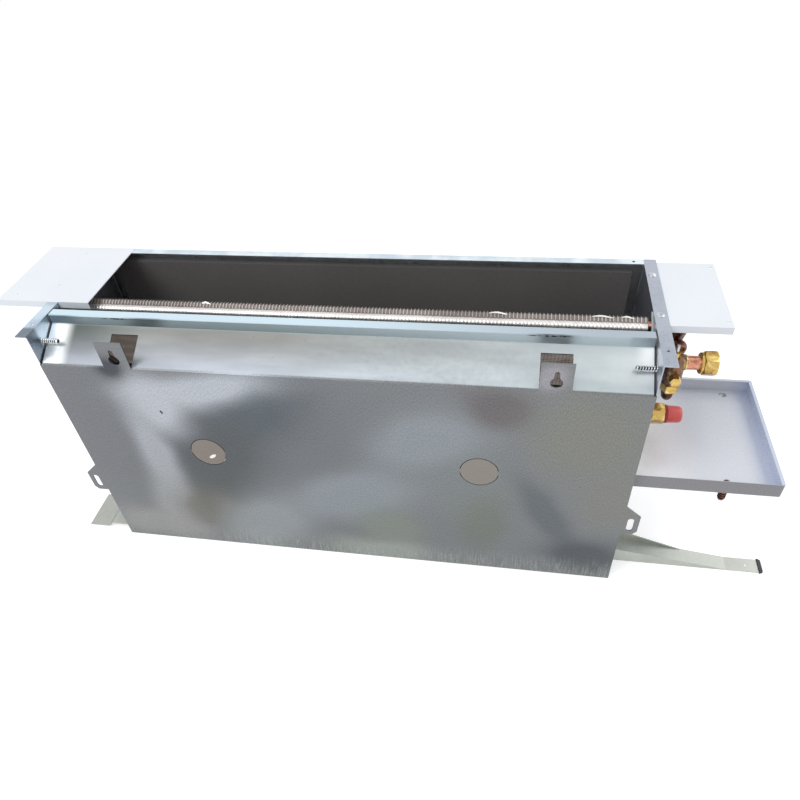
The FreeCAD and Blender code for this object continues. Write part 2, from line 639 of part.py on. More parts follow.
def blower(name, side):
    middle = side * value("knockout_spacing / 2")
    half = value("impeller_width / 2 + scroll_side_gap + scroll_wall")
    wall = value("scroll_wall")
    top = value("deck_height")
    axis = FreeCAD.Vector(1, 0, 0)
    shell = Part.Face(volute(0, top)).extrude(axis * (2 * half))
    shell.translate(axis * (middle - half))
    hollow = Part.Face(volute(wall, top + wall)).extrude(axis * (2 * (half - wall)))
    hollow.translate(axis * (middle - half + wall))
    centre = FreeCAD.Vector(middle - half - 1, value("shaft_depth"), value("shaft_height"))
    eye = Part.makeCylinder(value("impeller_radius") + 2, 2 * half + 2, centre, axis)
    shaped("scroll_housing_" + name, shell.cut(hollow).cut(eye))
    rings = [inlet_ring(middle + end * half, end) for end in (-1, 1)]
    shaped("inlet_rings_" + name, Part.makeCompound(rings))
    shaped("impeller_" + name, impeller(middle))


def inlet_ring(place, end):
    """Bell-mouthed ring on a side plate, with its throat turned in to the wheel."""
    eye = value("impeller_radius - blade_depth")
    rim = value("impeller_radius + inlet_lip")
    wall = value("scroll_wall")
    depth = value("scroll_side_gap") - value("running_clearance")
    bell = value("inlet_lip")
    points = [(0, rim), (0, eye + bell + wall), (-bell * 0.3, eye + bell * 0.3 + wall),
              (-depth, eye + wall), (-depth, eye), (-bell * 0.3 + wall, eye + bell * 0.3),
              (wall, eye + bell), (wall, rim)]
    corners = [FreeCAD.Vector(end * u, r, 0) for u, r in points]
    face = Part.Face(Part.makePolygon(corners + corners[:1]))
    turned = face.revolve(FreeCAD.Vector(), FreeCAD.Vector(1, 0, 0), 360)
    turned.translate(FreeCAD.Vector(place, value("shaft_depth"), value("shaft_height")))
    return turned


def impeller(middle):
    """Double-inlet wheel: forward-curved blades through a centre disc and two rims."""
    axis = FreeCAD.Vector(1, 0, 0)
    width = value("impeller_width")
    outer = value("impeller_radius")
    inner = outer - value("blade_depth")
    thick = value("blade_thickness")
    count = int(value("blade_count"))
    rim = value("impeller_rim")
    disc = value("impeller_disc")

    def tube(radius, hole, length, start):
        solid = Part.makeCylinder(radius, length, axis * start, axis)
        return solid.cut(Part.makeCylinder(hole, length, axis * start, axis))

    bore = value("shaft_diameter / 2")
    pieces = [tube(outer, bore, disc, -disc / 2),
              tube(value("hub_radius"), bore, value("hub_width"), -value("hub_width") / 2)]
    for start in (-width / 2, width / 2 - rim):
        pieces.append(tube(outer, inner, rim, start))
    camber = 14

    def rail(radius, degrees):
        turn = math.radians(degrees)
        return FreeCAD.Vector(-width / 2, radius * math.cos(turn), radius * math.sin(turn))

    half = math.degrees(thick / 2 / outer)
    mid = (inner + outer) / 2
    skin = 0.4
    rows = [(inner + skin, 0), (mid, camber * 0.28), (outer - skin, camber)]
    upper = [rail(r, a + half) for r, a in rows]
    lower = [rail(r, a - half) for r, a in rows]
    edges = [Part.Arc(*upper).toShape(), Part.LineSegment(upper[2], lower[2]).toShape(),
             Part.Arc(*reversed(lower)).toShape(), Part.LineSegment(lower[0], upper[0]).toShape()]
    blade = Part.Face(Part.Wire(edges)).extrude(axis * width)
    for number in range(count):
        copy = blade.copy()
        copy.rotate(FreeCAD.Vector(), axis, 360 * number / count)
        pieces.append(copy)
    wheel = pieces[0].multiFuse(pieces[1:])
    wheel.translate(FreeCAD.Vector(middle, value("shaft_depth"), value("shaft_height")))
    return wheel


def motor():
    centre = ("shaft_depth", "shaft_height")
    drive = body("fan_shaft")
    end = "(knockout_spacing / 2 + hub_width / 2 + shaft_overrun)"
    pad(drive, "rod", "x", f"-1 * {end}", end, (*centre, "shaft_diameter / 2"))
    housing = body("fan_motor")
    bore = "shaft_diameter / 2 + running_clearance"
    half = "motor_length / 2"
    bell = f"({half} + motor_bell_length)"
    boss = f"({bell} + motor_boss_length)"
    pad(housing, "case", "x", f"-1 * {half}", half, (*centre, "motor_radius"))
    pad(housing, "bells", "x", f"-1 * {bell}", bell, (*centre, "motor_bell_radius"))
    pad(housing, "bosses", "x", f"-1 * {boss}", boss, (*centre, "motor_boss_radius"))
    cut(housing, "shaft_bore", "x", f"-1 * {boss}", boss, (*centre, bore))
    rubbers = body("motor_rubber_rings")
    for side in (-1, 1):
        low, high = span(side, f"{boss} - rubber_width - 2", f"{boss} - 2")
        pad(rubbers, "ring", "x", low, high,
            (*centre, "motor_boss_radius + rubber_thickness"), (*centre, "motor_boss_radius"))
    bracket = body("motor_bracket")
    leg = f"({boss} - rubber_width / 2 - 2)"
    outside = f"({leg} + bracket_thickness)"
    back, front = "shaft_depth - bracket_depth / 2", "shaft_depth + bracket_depth / 2"
    pad(bracket, "bridge", "z", "deck_height - bracket_thickness", "deck_height",
        box(f"-1 * {outside}", back, outside, front))
    clamps = body("motor_clamps")
    seat = "(motor_boss_radius + rubber_thickness)"
    for side in (-1, 1):
        low, high = span(side, leg, outside)
        pad(bracket, "leg", "x", low, high,
            box(back, "shaft_height - motor_boss_radius", front,
                "deck_height - bracket_thickness"))
        cut(bracket, "seat", "x", low, high, (*centre, seat))
        cut(bracket, "mouth", "x", low, high,
            box(f"shaft_depth - {seat}", "shaft_height - motor_boss_radius",
                f"shaft_depth + {seat}", "shaft_height"))
        low, high = span(side, outside, f"{outside} + bracket_thickness")
        pad(clamps, "plate", "x", low, high,
            box(back, f"shaft_height - {seat} - 8", front, "shaft_height"))
        cut(clamps, "cradle", "x", low, high, (*centre, seat))


def air_filter():
    rails = body("filter_rails")
    base = "(filter_base - running_clearance)"
    top = "(filter_base + filter_thickness + running_clearance)"
    for side in (-1, 1):
        low, high = span(side, f"{HALF} - rail_sheet", HALF)
        pad(rails, "web", "x", low, high,
            box("panel_hem", f"{base} - rail_sheet", INSIDE_FRONT, f"{top} + rail_sheet"))
        low, high = span(side, f"{HALF} - rail_reach", f"{HALF} - rail_sheet")
        pad(rails, "lips", "x", low, high,
            box("panel_hem", f"{base} - rail_sheet", INSIDE_FRONT, base),
            box("panel_hem", top, INSIDE_FRONT, f"{top} + rail_sheet"))
    frame = body("filter_frame")
    end = f"({HALF} - rail_sheet - running_clearance)"
    roof = "(filter_base + filter_thickness)"
    front = "chassis_depth"
    pad(frame, "border", "z", "filter_base", roof, box(f"-1 * {end}", "filter_back", end, front))
    pad(frame, "pull_tab", "z", "filter_base", "filter_base + filter_thickness / 2",
        box("-1 * filter_tab", front, "filter_tab", f"{front} + filter_rim / 2"))
    inner = f"({end} - filter_rim)"
    bays = "(filter_ribs + 1)"
    pitch = f"(2 * {inner} + filter_rib) / {bays}"
    count = int(value("filter_ribs")) + 1
    panes = []
    for number in range(count):
        start = f"-1 * {inner} + {number} * {pitch}"
        panes.append(box(start, "filter_back + filter_rim", f"{start} + {pitch} - filter_rib",
                         f"{front} - filter_rim"))
    cut(frame, "panes", "z", "filter_base", roof, *panes)
    mesh = body("filter_mesh")
    middle = "filter_base + filter_thickness / 2"
    pad(mesh, "cloth", "z", f"{middle} - filter_mesh_thickness / 2",
        f"{middle} + filter_mesh_thickness / 2", *panes)


def covers():
    right = body("corner_cover_right")
    roof = UNDER_TOP
    under = f"({UNDER_TOP} - cover_sheet)"
    far = f"({HALF} + right_cover_reach)"
    pad(right, "plate", "z", under, roof,
        box(OUTER, "right_cover_back", far, "right_cover_front"))
    pad(right, "fold", "z", f"{roof} - cover_fold", under,
        box(f"{HALF} + end_flange", "right_cover_back", far,
            "right_cover_back + cover_sheet"))
    pad(right, "side_fold", "z", f"{roof} - cover_fold / 2", under,
        box(f"{far} - cover_sheet", "right_cover_back + cover_sheet", far,
            "right_cover_front"))
    cut(right, "holes", "z", under, roof,
        (f"{far} - 5", "right_cover_front - 10", "cover_hole_radius"),
        (f"{far} - 5", "right_cover_back + 10", "cover_hole_radius"),
        (f"{HALF} + flange_screw_inset", "flange_screw_front", "screw_radius"),
        (f"{HALF} + flange_screw_inset", "flange_screw_back", "screw_radius"))
    left = body("corner_cover_left")
    base, roof = TOP, "(chassis_height + cover_sheet)"
    far = f"(-1 * ({HALF} + left_cover_reach))"
    near = f"(-1 * ({HALF} - left_cover_inner))"
    pad(left, "plate", "z", base, roof, box(far, "left_cover_back", near, "chassis_depth"))
    notch = "running_clearance"
    pad(left, "fold", "z", f"{roof} - cover_fold", base,
        box(far, "left_cover_back", f"-1 * ({HALF} + end_flange + {notch})",
            "left_cover_back + cover_sheet"),
        box(f"-1 * ({HALF} - {notch})", "left_cover_back", near,
            "left_cover_back + cover_sheet"))
    cut(left, "holes", "z", base, roof,
        (f"{far} + 69", "left_cover_back + 39", "cover_hole_radius"),
        (f"{far} + 65", "chassis_depth - 19", "cover_hole_radius"),
        (f"{far} + 23", "left_cover_back + 14", "cover_hole_radius"))


def support_arms():
    arm = body("support_arm_right")
    back, front = "arm_back", "(arm_back + arm_width)"
    root = OUTER
    slope_end = f"({root} + arm_slope_reach)"
    tip = f"({root} + arm_reach)"
    thick = "arm_sheet"
    slope = "((arm_root_height - arm_sheet) / arm_slope_reach)"
    pad(arm, "tread", "y", back, front,
        [(root, f"arm_root_height - {thick}"), (slope_end, "0"), (tip, "0"), (tip, thick),
         (slope_end, thick), (root, "arm_root_height")])
    pad(arm, "near_web", "y", back, f"{back} + {thick}",
        [(root, "0"), (slope_end, "0"), (slope_end, thick), (root, "arm_root_height")])
    pad(arm, "far_lip", "y", f"{front} - {thick}", front,
        [(root, f"arm_root_height - {thick}"),
         (f"{root} + arm_lip_reach", f"arm_root_height - {thick} - {slope} * arm_lip_reach"),
         (f"{root} + arm_lip_reach", f"arm_root_height - {slope} * arm_lip_reach"),
         (root, "arm_root_height + arm_lip")])
    pad(arm, "root_flange", "x", root, f"{root} + {thick}",
        box(back, "0", f"{back} + arm_foot", "arm_root_height + arm_lip"))
    cut(arm, "tread_holes", "z", "0", thick,
        (f"{tip} - arm_hole_inset", f"{back} + arm_width / 2", "arm_hole_radius"))
    cap = body("arm_end_cap")
    pad(cap, "shell", "x", f"{tip} - arm_cap_length", f"{tip} + arm_cap_wall",
        box(f"{back} - arm_cap_wall", "0", f"{front} + arm_cap_wall", f"{thick} + arm_cap_wall"))
    cut(cap, "slot", "x", f"{tip} - arm_cap_length", tip, box(back, "0", front, thick))
    foot = body("support_arm_left")
    far = f"({root} + foot_reach)"
    step = f"({root} + foot_step)"
    thick = "arm_sheet"
    pad(foot, "tread", "y", "foot_back", "foot_front",
        mirrored(-1, [(root, "foot_rise"), (f"{step}", "foot_rise"),
                      (f"{step} + foot_rise", "0"), (far, "0"), (far, thick),
                      (f"{step} + foot_rise + {thick} / 2", thick),
                      (f"{step} + {thick} / 2", f"foot_rise + {thick}"),
                      (root, f"foot_rise + {thick}")]))
    low, high = span(-1, root, f"{root} + {thick}")
    pad(foot, "root_flange", "x", low, high,
        box("foot_back", f"foot_rise + {thick}", "foot_front", "foot_rise + foot_root"))


def screws():
    ribbed = body("thread_screws")
    for side in (-1, 1):
        place = ("thread_screw_depth", "thread_screw_height")
        low, high = span(side, f"{OUTER} - thread_screw_length", OUTER)
        pad(ribbed, "shank", "x", low, high, (*place, "thread_screw_radius"))
        low, high = span(side, OUTER, f"{OUTER} + screw_head_height")
        pad(ribbed, "head", "x", low, high, (*place, "thread_screw_radius + 2"))
    flange = body("flange_screws")
    shanks, heads = [], []
    for depth in ("flange_screw_front", "flange_screw_back"):
        place = (f"{HALF} + flange_screw_inset", depth)
        shanks.append((*place, "screw_radius"))
        heads.append((*place, "screw_head_radius"))
    pad(flange, "shanks", "z", f"{TOP} - 10", TOP, *shanks)
    pad(flange, "heads", "z", TOP, f"{TOP} + cover_sheet", *heads)
    tray = body("tray_screws")
    for depth in ("tray_back + 40", "tray_front - 40"):
        place = (depth, "tray_rim - tray_depth / 2")
        low = f"{OUTER} + sheet_thickness"
        pad(tray, "head", "x", low, f"{low} + screw_head_height", (*place, "screw_head_radius"))
    arms = body("arm_screws")
    low = f"{OUTER} + arm_sheet"
    for level in ("arm_root_height / 2", "arm_root_height + arm_lip / 2"):
        pad(arms, "head", "x", low, f"{low} + screw_head_height",
            ("arm_back + arm_foot - 8", level, "screw_head_radius"))


def connections():
    upper = ("valve_depth", "union_height")
    stem = f"({OUTER} + valve_reach)"
    nut = f"({OUTER} + union_nut_start)"
    shaft = body("upper_pipe")
    pad(shaft, "pipe", "x", f"{OUTER} + valve_reach - 8", f"{nut} + union_seat_length",
        (*upper, "pipe_radius"))
    pad(shaft, "seat", "x", f"{nut} + union_seat_length", f"{nut} + 2 * union_seat_length",
        (*upper, "union_seat_radius"))
    swivel = body("upper_union_nut")
    pad(swivel, "hexagon", "x", nut, f"{nut} + union_nut_length",
        hexagon("valve_depth", "union_height", "union_nut_flats"))
    cut(swivel, "neck_bore", "x", nut, f"{nut} + union_seat_length",
        (*upper, "pipe_radius + running_clearance"))
    seat = f"({nut} + 2 * union_seat_length)"
    cut(swivel, "seat_bore", "x", f"{nut} + union_seat_length - running_clearance", seat,
        (*upper, "union_seat_radius + 2 * running_clearance"))
    cut(swivel, "thread_bore", "x", seat, f"{nut} + union_nut_length",
        (*upper, "union_thread_radius"))
    valve = body("valve_body")
    middle = (stem, "valve_depth")
    pad(valve, "barrel", "z", "valve_base", "union_height", (*middle, "valve_radius"))
    cut(valve, "pipe_saddle", "x", f"{stem} - valve_radius", f"{stem} + valve_radius",
        (*upper, "pipe_radius"))
    gland = body("gland_nut")
    pad(gland, "hexagon", "z", "valve_base - gland_height", "valve_base",
        hexagon(stem, "valve_depth", "gland_flats"))
    bonnet = body("valve_bonnet")
    pad(bonnet, "stub", "y", "valve_depth - valve_radius - bonnet_length", "valve_depth",
        hexagon(stem, "(valve_base + bonnet_rise)", "bonnet_flats"))
    cut(bonnet, "barrel_saddle", "z", "valve_base", "union_height", (*middle, "valve_radius"))
    vent = body("air_vent")
    place = (f"{OUTER} + vent_reach", "valve_depth")
    base = "(union_height + pipe_radius)"
    pad(vent, "seat", "z", "union_height", f"{base} + vent_body_height",
        (*place, "vent_body_radius"))
    cut(vent, "pipe_saddle", "x", f"{OUTER} + vent_reach - vent_body_radius",
        f"{OUTER} + vent_reach + vent_body_radius", (*upper, "pipe_radius"))
    cut(vent, "screw_bore", "z", f"{base} + 1", f"{base} + vent_body_height",
        (*place, "vent_screw_radius + 0.3"))
    key = body("vent_screw")
    pad(key, "stem", "z", f"{base} + 1.3", f"{base} + vent_body_height + vent_screw_height",
        (*place, "vent_screw_radius"))
    lower_connection()


def lower_connection():
    lower = ("lower_depth", "lower_height")
    start = f"({OUTER} + lower_start)"
    shoulder = f"({start} + lower_hex_length)"
    fitting = body("lower_union")
    pad(fitting, "hexagon", "x", start, shoulder,
        hexagon("lower_depth", "lower_height", "lower_hex_flats"))
    pad(fitting, "thread", "x", shoulder, f"{shoulder} + lower_thread_length",
        (*lower, "lower_thread_radius"))
    cap = body("protective_cap")
    near = f"({shoulder} + 0.3)"
    pad(cap, "shell", "x", near, f"{near} + cap_length", (*lower, "cap_radius"))
    side = "cap_rib_width / 2"
    rib = pad(cap, "rib", "x", near, f"{near} + cap_length - 4 * cap_wall",
              box(f"lower_depth - {side}", "lower_height + cap_radius - cap_wall",
                  f"lower_depth + {side}", "lower_height + cap_radius + cap_rib_height"))
    around(cap, rib, "cap_ribs", lower)
    cut(cap, "hollow", "x", near, f"{near} + cap_length - cap_wall",
        (*lower, "lower_thread_radius + 0.3"))
    pipes(start)


def pipes(lower_start):
    """Bent copper from the two headers to the valve and to the lower union."""
    reach = value(f"{OUTER} + header_reach")
    stem = value(f"{OUTER} + valve_reach")
    depth = value("valve_depth")
    base = value("valve_base - gland_height")
    radius = value("riser_radius")
    tap = coil_point("70", "coil_width / 2 - tube_rows_pitch / 2")
    skin = value("header_diameter / 2 - braze_depth")
    tap = FreeCAD.Vector(reach, value(tap[0]) - skin, value(tap[1]))
    riser = [tap, FreeCAD.Vector(stem, depth, base - 20), FreeCAD.Vector(stem, depth, base)]
    shaped("return_riser", swept(rounded(riser, radius * 1.5), radius))
    last = tube_place(1, 4)
    run = FreeCAD.Vector(0, math.sin(math.radians(value("coil_tilt"))),
                         -math.cos(math.radians(value("coil_tilt"))))
    foot = FreeCAD.Vector(reach, value(last[0]), value(last[1])) + run * value("header_overrun")
    level = value("lower_height")
    near = value("lower_depth")
    turn = value(f"{OUTER} + 12")
    path = [foot, foot + run * 32, FreeCAD.Vector(turn, near, level),
            FreeCAD.Vector(value(lower_start), near, level)]
    shaped("supply_pipe", swept(rounded(path, radius * 1.5), radius))


def terminal_box():
    case = body("terminal_box")
    back, front = "box_back", "(box_back + box_depth)"
    base, top = "box_base", "(box_base + box_height)"
    low, high = span(-1, OUTER, f"{OUTER} + box_reach")
    pad(case, "shell", "x", low, high, box(back, base, front, top))
    wall = "box_wall"
    cut(case, "inside", "x", low, f"-1 * {OUTER} - {wall}",
        box(f"{back} + {wall}", f"{base} + {wall}", f"{front} - {wall}", f"{top} - {wall}"))
    middle = (f"-1 * ({OUTER} + box_reach / 2)", f"{back} + box_depth / 2")
    cut(case, "gland_hole", "z", base, f"{base} + {wall}", (*middle, "gland_radius - 2"))
    lid = body("terminal_box_cover")
    low, high = span(-1, f"{OUTER} + box_reach", f"{OUTER} + box_reach + {wall}")
    pad(lid, "plate", "x", low, high, box(back, base, front, top))
    gland = body("cable_gland")
    pad(gland, "body", "z", f"{base} - gland_length", base,
        (*middle, "gland_radius"), (*middle, "gland_radius - 4"))
    block = body("terminal_block")
    low, high = span(-1, f"{OUTER} + {wall}", f"{OUTER} + {wall} + terminal_height")
    start = "(box_base + (box_height - terminal_count * terminal_pitch) / 2)"
    pad(block, "bar", "x", low, high,
        box(f"{back} + 20", start, f"{back} + 20 + terminal_depth",
            f"{start} + terminal_count * terminal_pitch"))


def build():
    back_panel()
    front_panel()
    for name, side in SIDES:
        end_plate(name, side)
    insulation()
    fan_deck()
    coil()
    pan_and_tray()
    for name, side in SIDES:
        blower(name, side)
    motor()
    air_filter()
    covers()
    support_arms()
    screws()
    connections()
    terminal_box()


def write():
    doc.recompute()
    for thing in doc.Objects:
        if "Invalid" in thing.State or "Error" in thing.State:
            raise RuntimeError(f"{thing.Label} did not build: {thing.State}")
    for piece in PARTS:
        if piece.Shape.isNull() or not piece.Shape.isValid():
            raise RuntimeError(f"{piece.Label} has no valid shape")
    os.makedirs("parts", exist_ok=True)
    for piece in PARTS:
        piece.Shape.exportStep(os.path.join("parts", piece.Label + ".step"))
        print(piece.Label, len(piece.Shape.Solids), round(piece.Shape.Volume))


build()
write()
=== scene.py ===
import json
import math
import random

import bmesh
import bpy
from mathutils import Matrix, Vector


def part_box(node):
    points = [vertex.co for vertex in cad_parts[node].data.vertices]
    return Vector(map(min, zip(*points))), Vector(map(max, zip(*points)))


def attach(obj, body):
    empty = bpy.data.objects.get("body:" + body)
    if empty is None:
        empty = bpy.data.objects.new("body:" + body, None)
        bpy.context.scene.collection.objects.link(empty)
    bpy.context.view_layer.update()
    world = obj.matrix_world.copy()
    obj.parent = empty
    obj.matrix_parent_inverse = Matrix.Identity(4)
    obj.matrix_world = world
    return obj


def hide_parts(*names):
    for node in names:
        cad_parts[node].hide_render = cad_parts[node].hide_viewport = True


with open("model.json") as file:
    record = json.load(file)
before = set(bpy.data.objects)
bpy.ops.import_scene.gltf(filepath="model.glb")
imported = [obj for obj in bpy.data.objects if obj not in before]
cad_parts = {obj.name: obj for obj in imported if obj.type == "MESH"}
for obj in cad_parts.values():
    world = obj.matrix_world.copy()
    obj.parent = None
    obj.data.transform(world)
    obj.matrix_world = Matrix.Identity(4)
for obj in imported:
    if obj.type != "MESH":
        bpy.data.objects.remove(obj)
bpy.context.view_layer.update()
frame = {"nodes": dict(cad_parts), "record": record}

NODES = frame["nodes"]
SCENE = bpy.context.scene
MM = 0.001
TURN = 2 * math.pi

random.seed(7)


def midway(low, high, x=0):
    """Point at a place along X, midway between two corners in Y and Z."""
    return Vector((x, (low.y + high.y) / 2, (low.z + high.z) / 2))


# Camera and lamps

IMAGE_SIDE = 800
FOCAL_PIXELS = 667.56
CENTRE_PIXEL = (392.95, 433.55)
SENSOR = 36.0
CAMERA_AT = Vector((0.2118, -0.579, 0.8343))
CAMERA_RIGHT = Vector((0.98425, 0.16283, -0.06891))
CAMERA_FORWARD = Vector((-0.16463, 0.70187, -0.69302))


def make_camera():
    """Camera fitted to the casing's corners in the photo."""
    data = bpy.data.cameras.new("camera")
    data.sensor_width = SENSOR
    data.lens = FOCAL_PIXELS * SENSOR / IMAGE_SIDE
    data.shift_x = 0.5 - CENTRE_PIXEL[0] / IMAGE_SIDE
    data.shift_y = CENTRE_PIXEL[1] / IMAGE_SIDE - 0.5
    data.clip_start = 0.01
    data.clip_end = 50
    camera = bpy.data.objects.new("camera", data)
    SCENE.collection.objects.link(camera)
    forward = CAMERA_FORWARD.normalized()
    right = (CAMERA_RIGHT - forward * CAMERA_RIGHT.dot(forward)).normalized()
    up = right.cross(forward)
    turn = Matrix((right, up, -forward)).transposed().to_4x4()
    camera.matrix_world = Matrix.Translation(CAMERA_AT) @ turn
    SCENE.camera = camera


def lamp(name, place, target, size, power):
    """Round soft light at a place, turned to a target."""
    data = bpy.data.lights.new(name, "AREA")
    data.shape = "DISK"
    data.size = size
    data.energy = power
    made = bpy.data.objects.new(name, data)
    SCENE.collection.objects.link(made)
    made.location = place
    made.rotation_euler = (Vector(target) - Vector(place)).to_track_quat("-Z", "Y").to_euler()


# Shader nodes

def add(tree, kind, *values, **settings):
    """Shader node: values go to its inputs in order, settings to properties or named inputs."""
    made = tree.nodes.new("ShaderNode" + kind)
    inputs = {}
    for key, value in settings.items():
        if hasattr(made, key):
            setattr(made, key, value)
        else:
            inputs[key.replace("_", " ")] = value
    for index, value in enumerate(values):
        join(tree, made.inputs[index], value)
    for key, value in inputs.items():
        join(tree, made.inputs[key], value)
    return made


def join(tree, socket, value):
    """Link a socket to another, or set it to a constant; nothing is done for None."""
    if value is None:
        return
    if isinstance(value, bpy.types.NodeSocket):
        tree.links.new(value, socket)
    elif isinstance(value, (tuple, list)) and len(value) == 3 and socket.type == "RGBA":
        socket.default_value = (*value, 1)
    else:
        socket.default_value = value


def blend(tree, factor, first, second, kind="MIX"):
    """Colour between two: the first at factor 0, the second at factor 1."""
    mixer = add(tree, "Mix")
    mixer.data_type = "RGBA"
    mixer.blend_type = kind
    mixer.clamp_factor = True
    join(tree, mixer.inputs[0], factor)
    join(tree, mixer.inputs[6], first)
    join(tree, mixer.inputs[7], second)
    return mixer.outputs[2]


def ramp(tree, value, low, high, start=0.0, end=1.0, smooth=True):
    """Map a value from low and high to start and end, held beyond them."""
    made = add(tree, "MapRange")
    made.interpolation_type = "SMOOTHSTEP" if smooth else "LINEAR"
    join(tree, made.inputs[0], value)
    for index, number in enumerate((low, high, start, end), 1):
        made.inputs[index].default_value = number
    return made.outputs[0]


def maths(tree, operation, first, second=0.0):
    return add(tree, "Math", first, second, operation=operation).outputs[0]


def product(tree, first, second):
    return maths(tree, "MULTIPLY", first, second)


def vector_maths(tree, operation, first, second=None, **settings):
    return add(tree, "VectorMath", first, second, operation=operation, **settings).outputs


def noise(tree, vector, scale, detail=4.0, roughness=0.5, distortion=0.0):
    return add(tree, "TexNoise", Vector=vector, Scale=scale, Detail=detail,
               Roughness=roughness, Distortion=distortion).outputs[0]


def stretched(tree, vector, scale, turn=(0, 0, 0)):
    return add(tree, "Mapping", Vector=vector, Scale=scale, Rotation=turn).outputs[0]


def axes_of(tree, place):
    """X, Y and Z of a place as three sockets."""
    return add(tree, "SeparateXYZ", place).outputs


def shader(name, roughness, metallic=0.0, **sockets):
    """New material with its main shader, ready for more nodes."""
    made = bpy.data.materials.new(name)
    made.use_nodes = True
    tree = made.node_tree
    main = tree.nodes["Principled BSDF"]
    for key, value in {"Roughness": roughness, "Metallic": metallic, **sockets}.items():
        main.inputs[key.replace("_", " ")].default_value = value
    place = add(tree, "TexCoord").outputs["Object"]
    return made, tree, main, place


def reopened(made):
    """Tree, main shader, object place and present colour of a finished material."""
    tree = made.node_tree
    main = tree.nodes["Principled BSDF"]
    place = add(tree, "TexCoord").outputs["Object"]
    return tree, main, place, main.inputs["Base Color"].links[0].from_socket


def tint(main, colour):
    """Link or set the colour of a material's main shader."""
    join(main.id_data, main.inputs["Base Color"], colour)


def surface(tree, main, texture, rough, depth, strength, ends=(0.3, 0.7), smooth=True):
    """Roughness between two values, and bump, from one fine texture."""
    join(tree, main.inputs["Roughness"], ramp(tree, texture, *ends, *rough, smooth=smooth))
    bumps = add(tree, "Bump", Strength=strength, Distance=depth, Height=texture)
    tree.links.new(bumps.outputs[0], main.inputs["Normal"])


# Zinc-coated sheet

CRYSTAL_SCALE = 190.0
ROLLED_SCALE = (60, 900, 900)
GRAIN_SHARE = 0.6
GRAIN_BUMP = 0.00012


def zinc_grain(tree, main, place, low=0.24, high=0.42):
    """Fine rolled grain and small zinc crystals in roughness and bump."""
    crystals = add(tree, "TexVoronoi", Vector=place, Scale=CRYSTAL_SCALE,
                   feature="SMOOTH_F1").outputs[0]
    rolled = noise(tree, stretched(tree, place, ROLLED_SCALE), 1.0, detail=3.0)
    mixed = maths(tree, "ADD", product(tree, crystals, GRAIN_SHARE),
                  product(tree, rolled, GRAIN_SHARE))
    surface(tree, main, mixed, (low, high), GRAIN_BUMP, 0.35, ends=(0.2, 0.9), smooth=False)
    return mixed


def galvanised(name, dark, light, low=0.24, high=0.42):
    """Zinc-coated sheet: soft broad clouds over a fine crystal grain."""
    made, tree, main, place = shader(name, 0.3, metallic=1.0)
    grain = zinc_grain(tree, main, place, low, high)
    clouds = noise(tree, place, 9.0, detail=3.0, roughness=0.45, distortion=0.4)
    spread = maths(tree, "ADD", product(tree, clouds, 0.75), product(tree, grain, 0.25))
    tint(main, blend(tree, ramp(tree, spread, 0.3, 0.7), dark, light))
    return made


# Painted reflections and shade, as soft clouds on the back panel's wall face: place along and up,
# reach along and up in mm, turn in degrees, colour in thousandths, strength. All other places of
# finishes are in metres.

PANEL_REFLECTION_CLOUDS = (
    (-330, 250, 100, 260, 0, (165, 172, 185), 0.8),
    (-50, 180, 260, 260, 0, (155, 165, 177), 0.7),
    (-205, 150, 110, 170, -20, (110, 118, 122), 1.0),
    (-120, 270, 165, 75, 28, (108, 124, 140), 1.0),
    (-160, 210, 100, 90, 30, (105, 112, 118), 0.9),
    (-165, 312, 155, 40, 8, (400, 425, 470), 1.0),
    (-236, 282, 62, 68, 0, (410, 430, 475), 1.0),
    (-262, 200, 42, 120, 4, (340, 358, 392), 0.95),
    (-266, 100, 50, 130, -4, (315, 325, 335), 0.8),
    (-300, 30, 120, 60, 0, (290, 290, 285), 0.8),
    (-215, 80, 70, 70, 35, (165, 160, 140), 0.7),
    (-130, 60, 120, 85, 18, (300, 325, 340), 0.7),
    (10, 135, 170, 80, 20, (270, 300, 325), 0.75),
    (110, 250, 130, 70, 22, (262, 290, 318), 0.75),
    (170, 170, 80, 100, 0, (200, 222, 225), 0.6),
    (60, 75, 75, 65, 0, (215, 238, 210), 0.8),
    (40, 15, 120, 45, 0, (300, 325, 300), 0.8),
    (190, 100, 60, 90, 0, (165, 180, 150), 0.6),
    (205, 318, 65, 50, -20, (140, 125, 130), 0.8),
    (310, 270, 115, 130, 0, (205, 208, 190), 0.9),
    (350, 160, 60, 80, 0, (205, 206, 190), 0.8),
    (275, 130, 34, 120, 38, (125, 140, 150), 0.85),
    (335, 50, 85, 60, 0, (95, 106, 115), 0.95),
    (-274, 345, 30, 32, 0, (55, 62, 75), 0.85),
    (264, 362, 30, 22, 0, (310, 300, 330), 0.9),
)
WALL_GREYS = ((0.175, 0.185, 0.195), (0.205, 0.215, 0.225))
CLOUD_REACH = 1.35
CLOUD_FULL = 0.62
WANDER_SCALE = 7.0
WANDER_REACH = 0.05
FRINGE_SCALE = (420, 40, 38)
FRINGE_COLOUR = (0.34, 0.37, 0.34)
DIRT_SCALE = (300, 40, 110)
DIRT_COLOUR = (0.07, 0.075, 0.06)
WEAVE_SCALE = (900, 40, 340)
WEAVE_SHARE = 0.55
KNOCKOUT_RADIUS = 0.0245
# Painted reflection on the slightly tilted knock-out slugs.
KNOCKOUT_REFLECTION_COLOUR = (0.27, 0.23, 0.2)
KNOCKOUT_SHARE = 0.7
KNOCKOUTS = (-0.183, 0.183)
KNOCKOUT_HEIGHT = 0.204
# Pale spot inside the left knock-out.
KNOCKOUT_SPOT_AT, KNOCKOUT_SPOT_REACH, KNOCKOUT_SPOT_TURN = (-0.178, 0.206), (0.0075, 0.0035), 35
KNOCKOUT_SPOT_COLOUR = (0.8, 0.79, 0.78)
SPECK_AT, SPECK_REACH, SPECK_TURN = (-0.229, 0.274), (0.002, 0.004), 20
SPECK_COLOUR = (0.06, 0.06, 0.06)
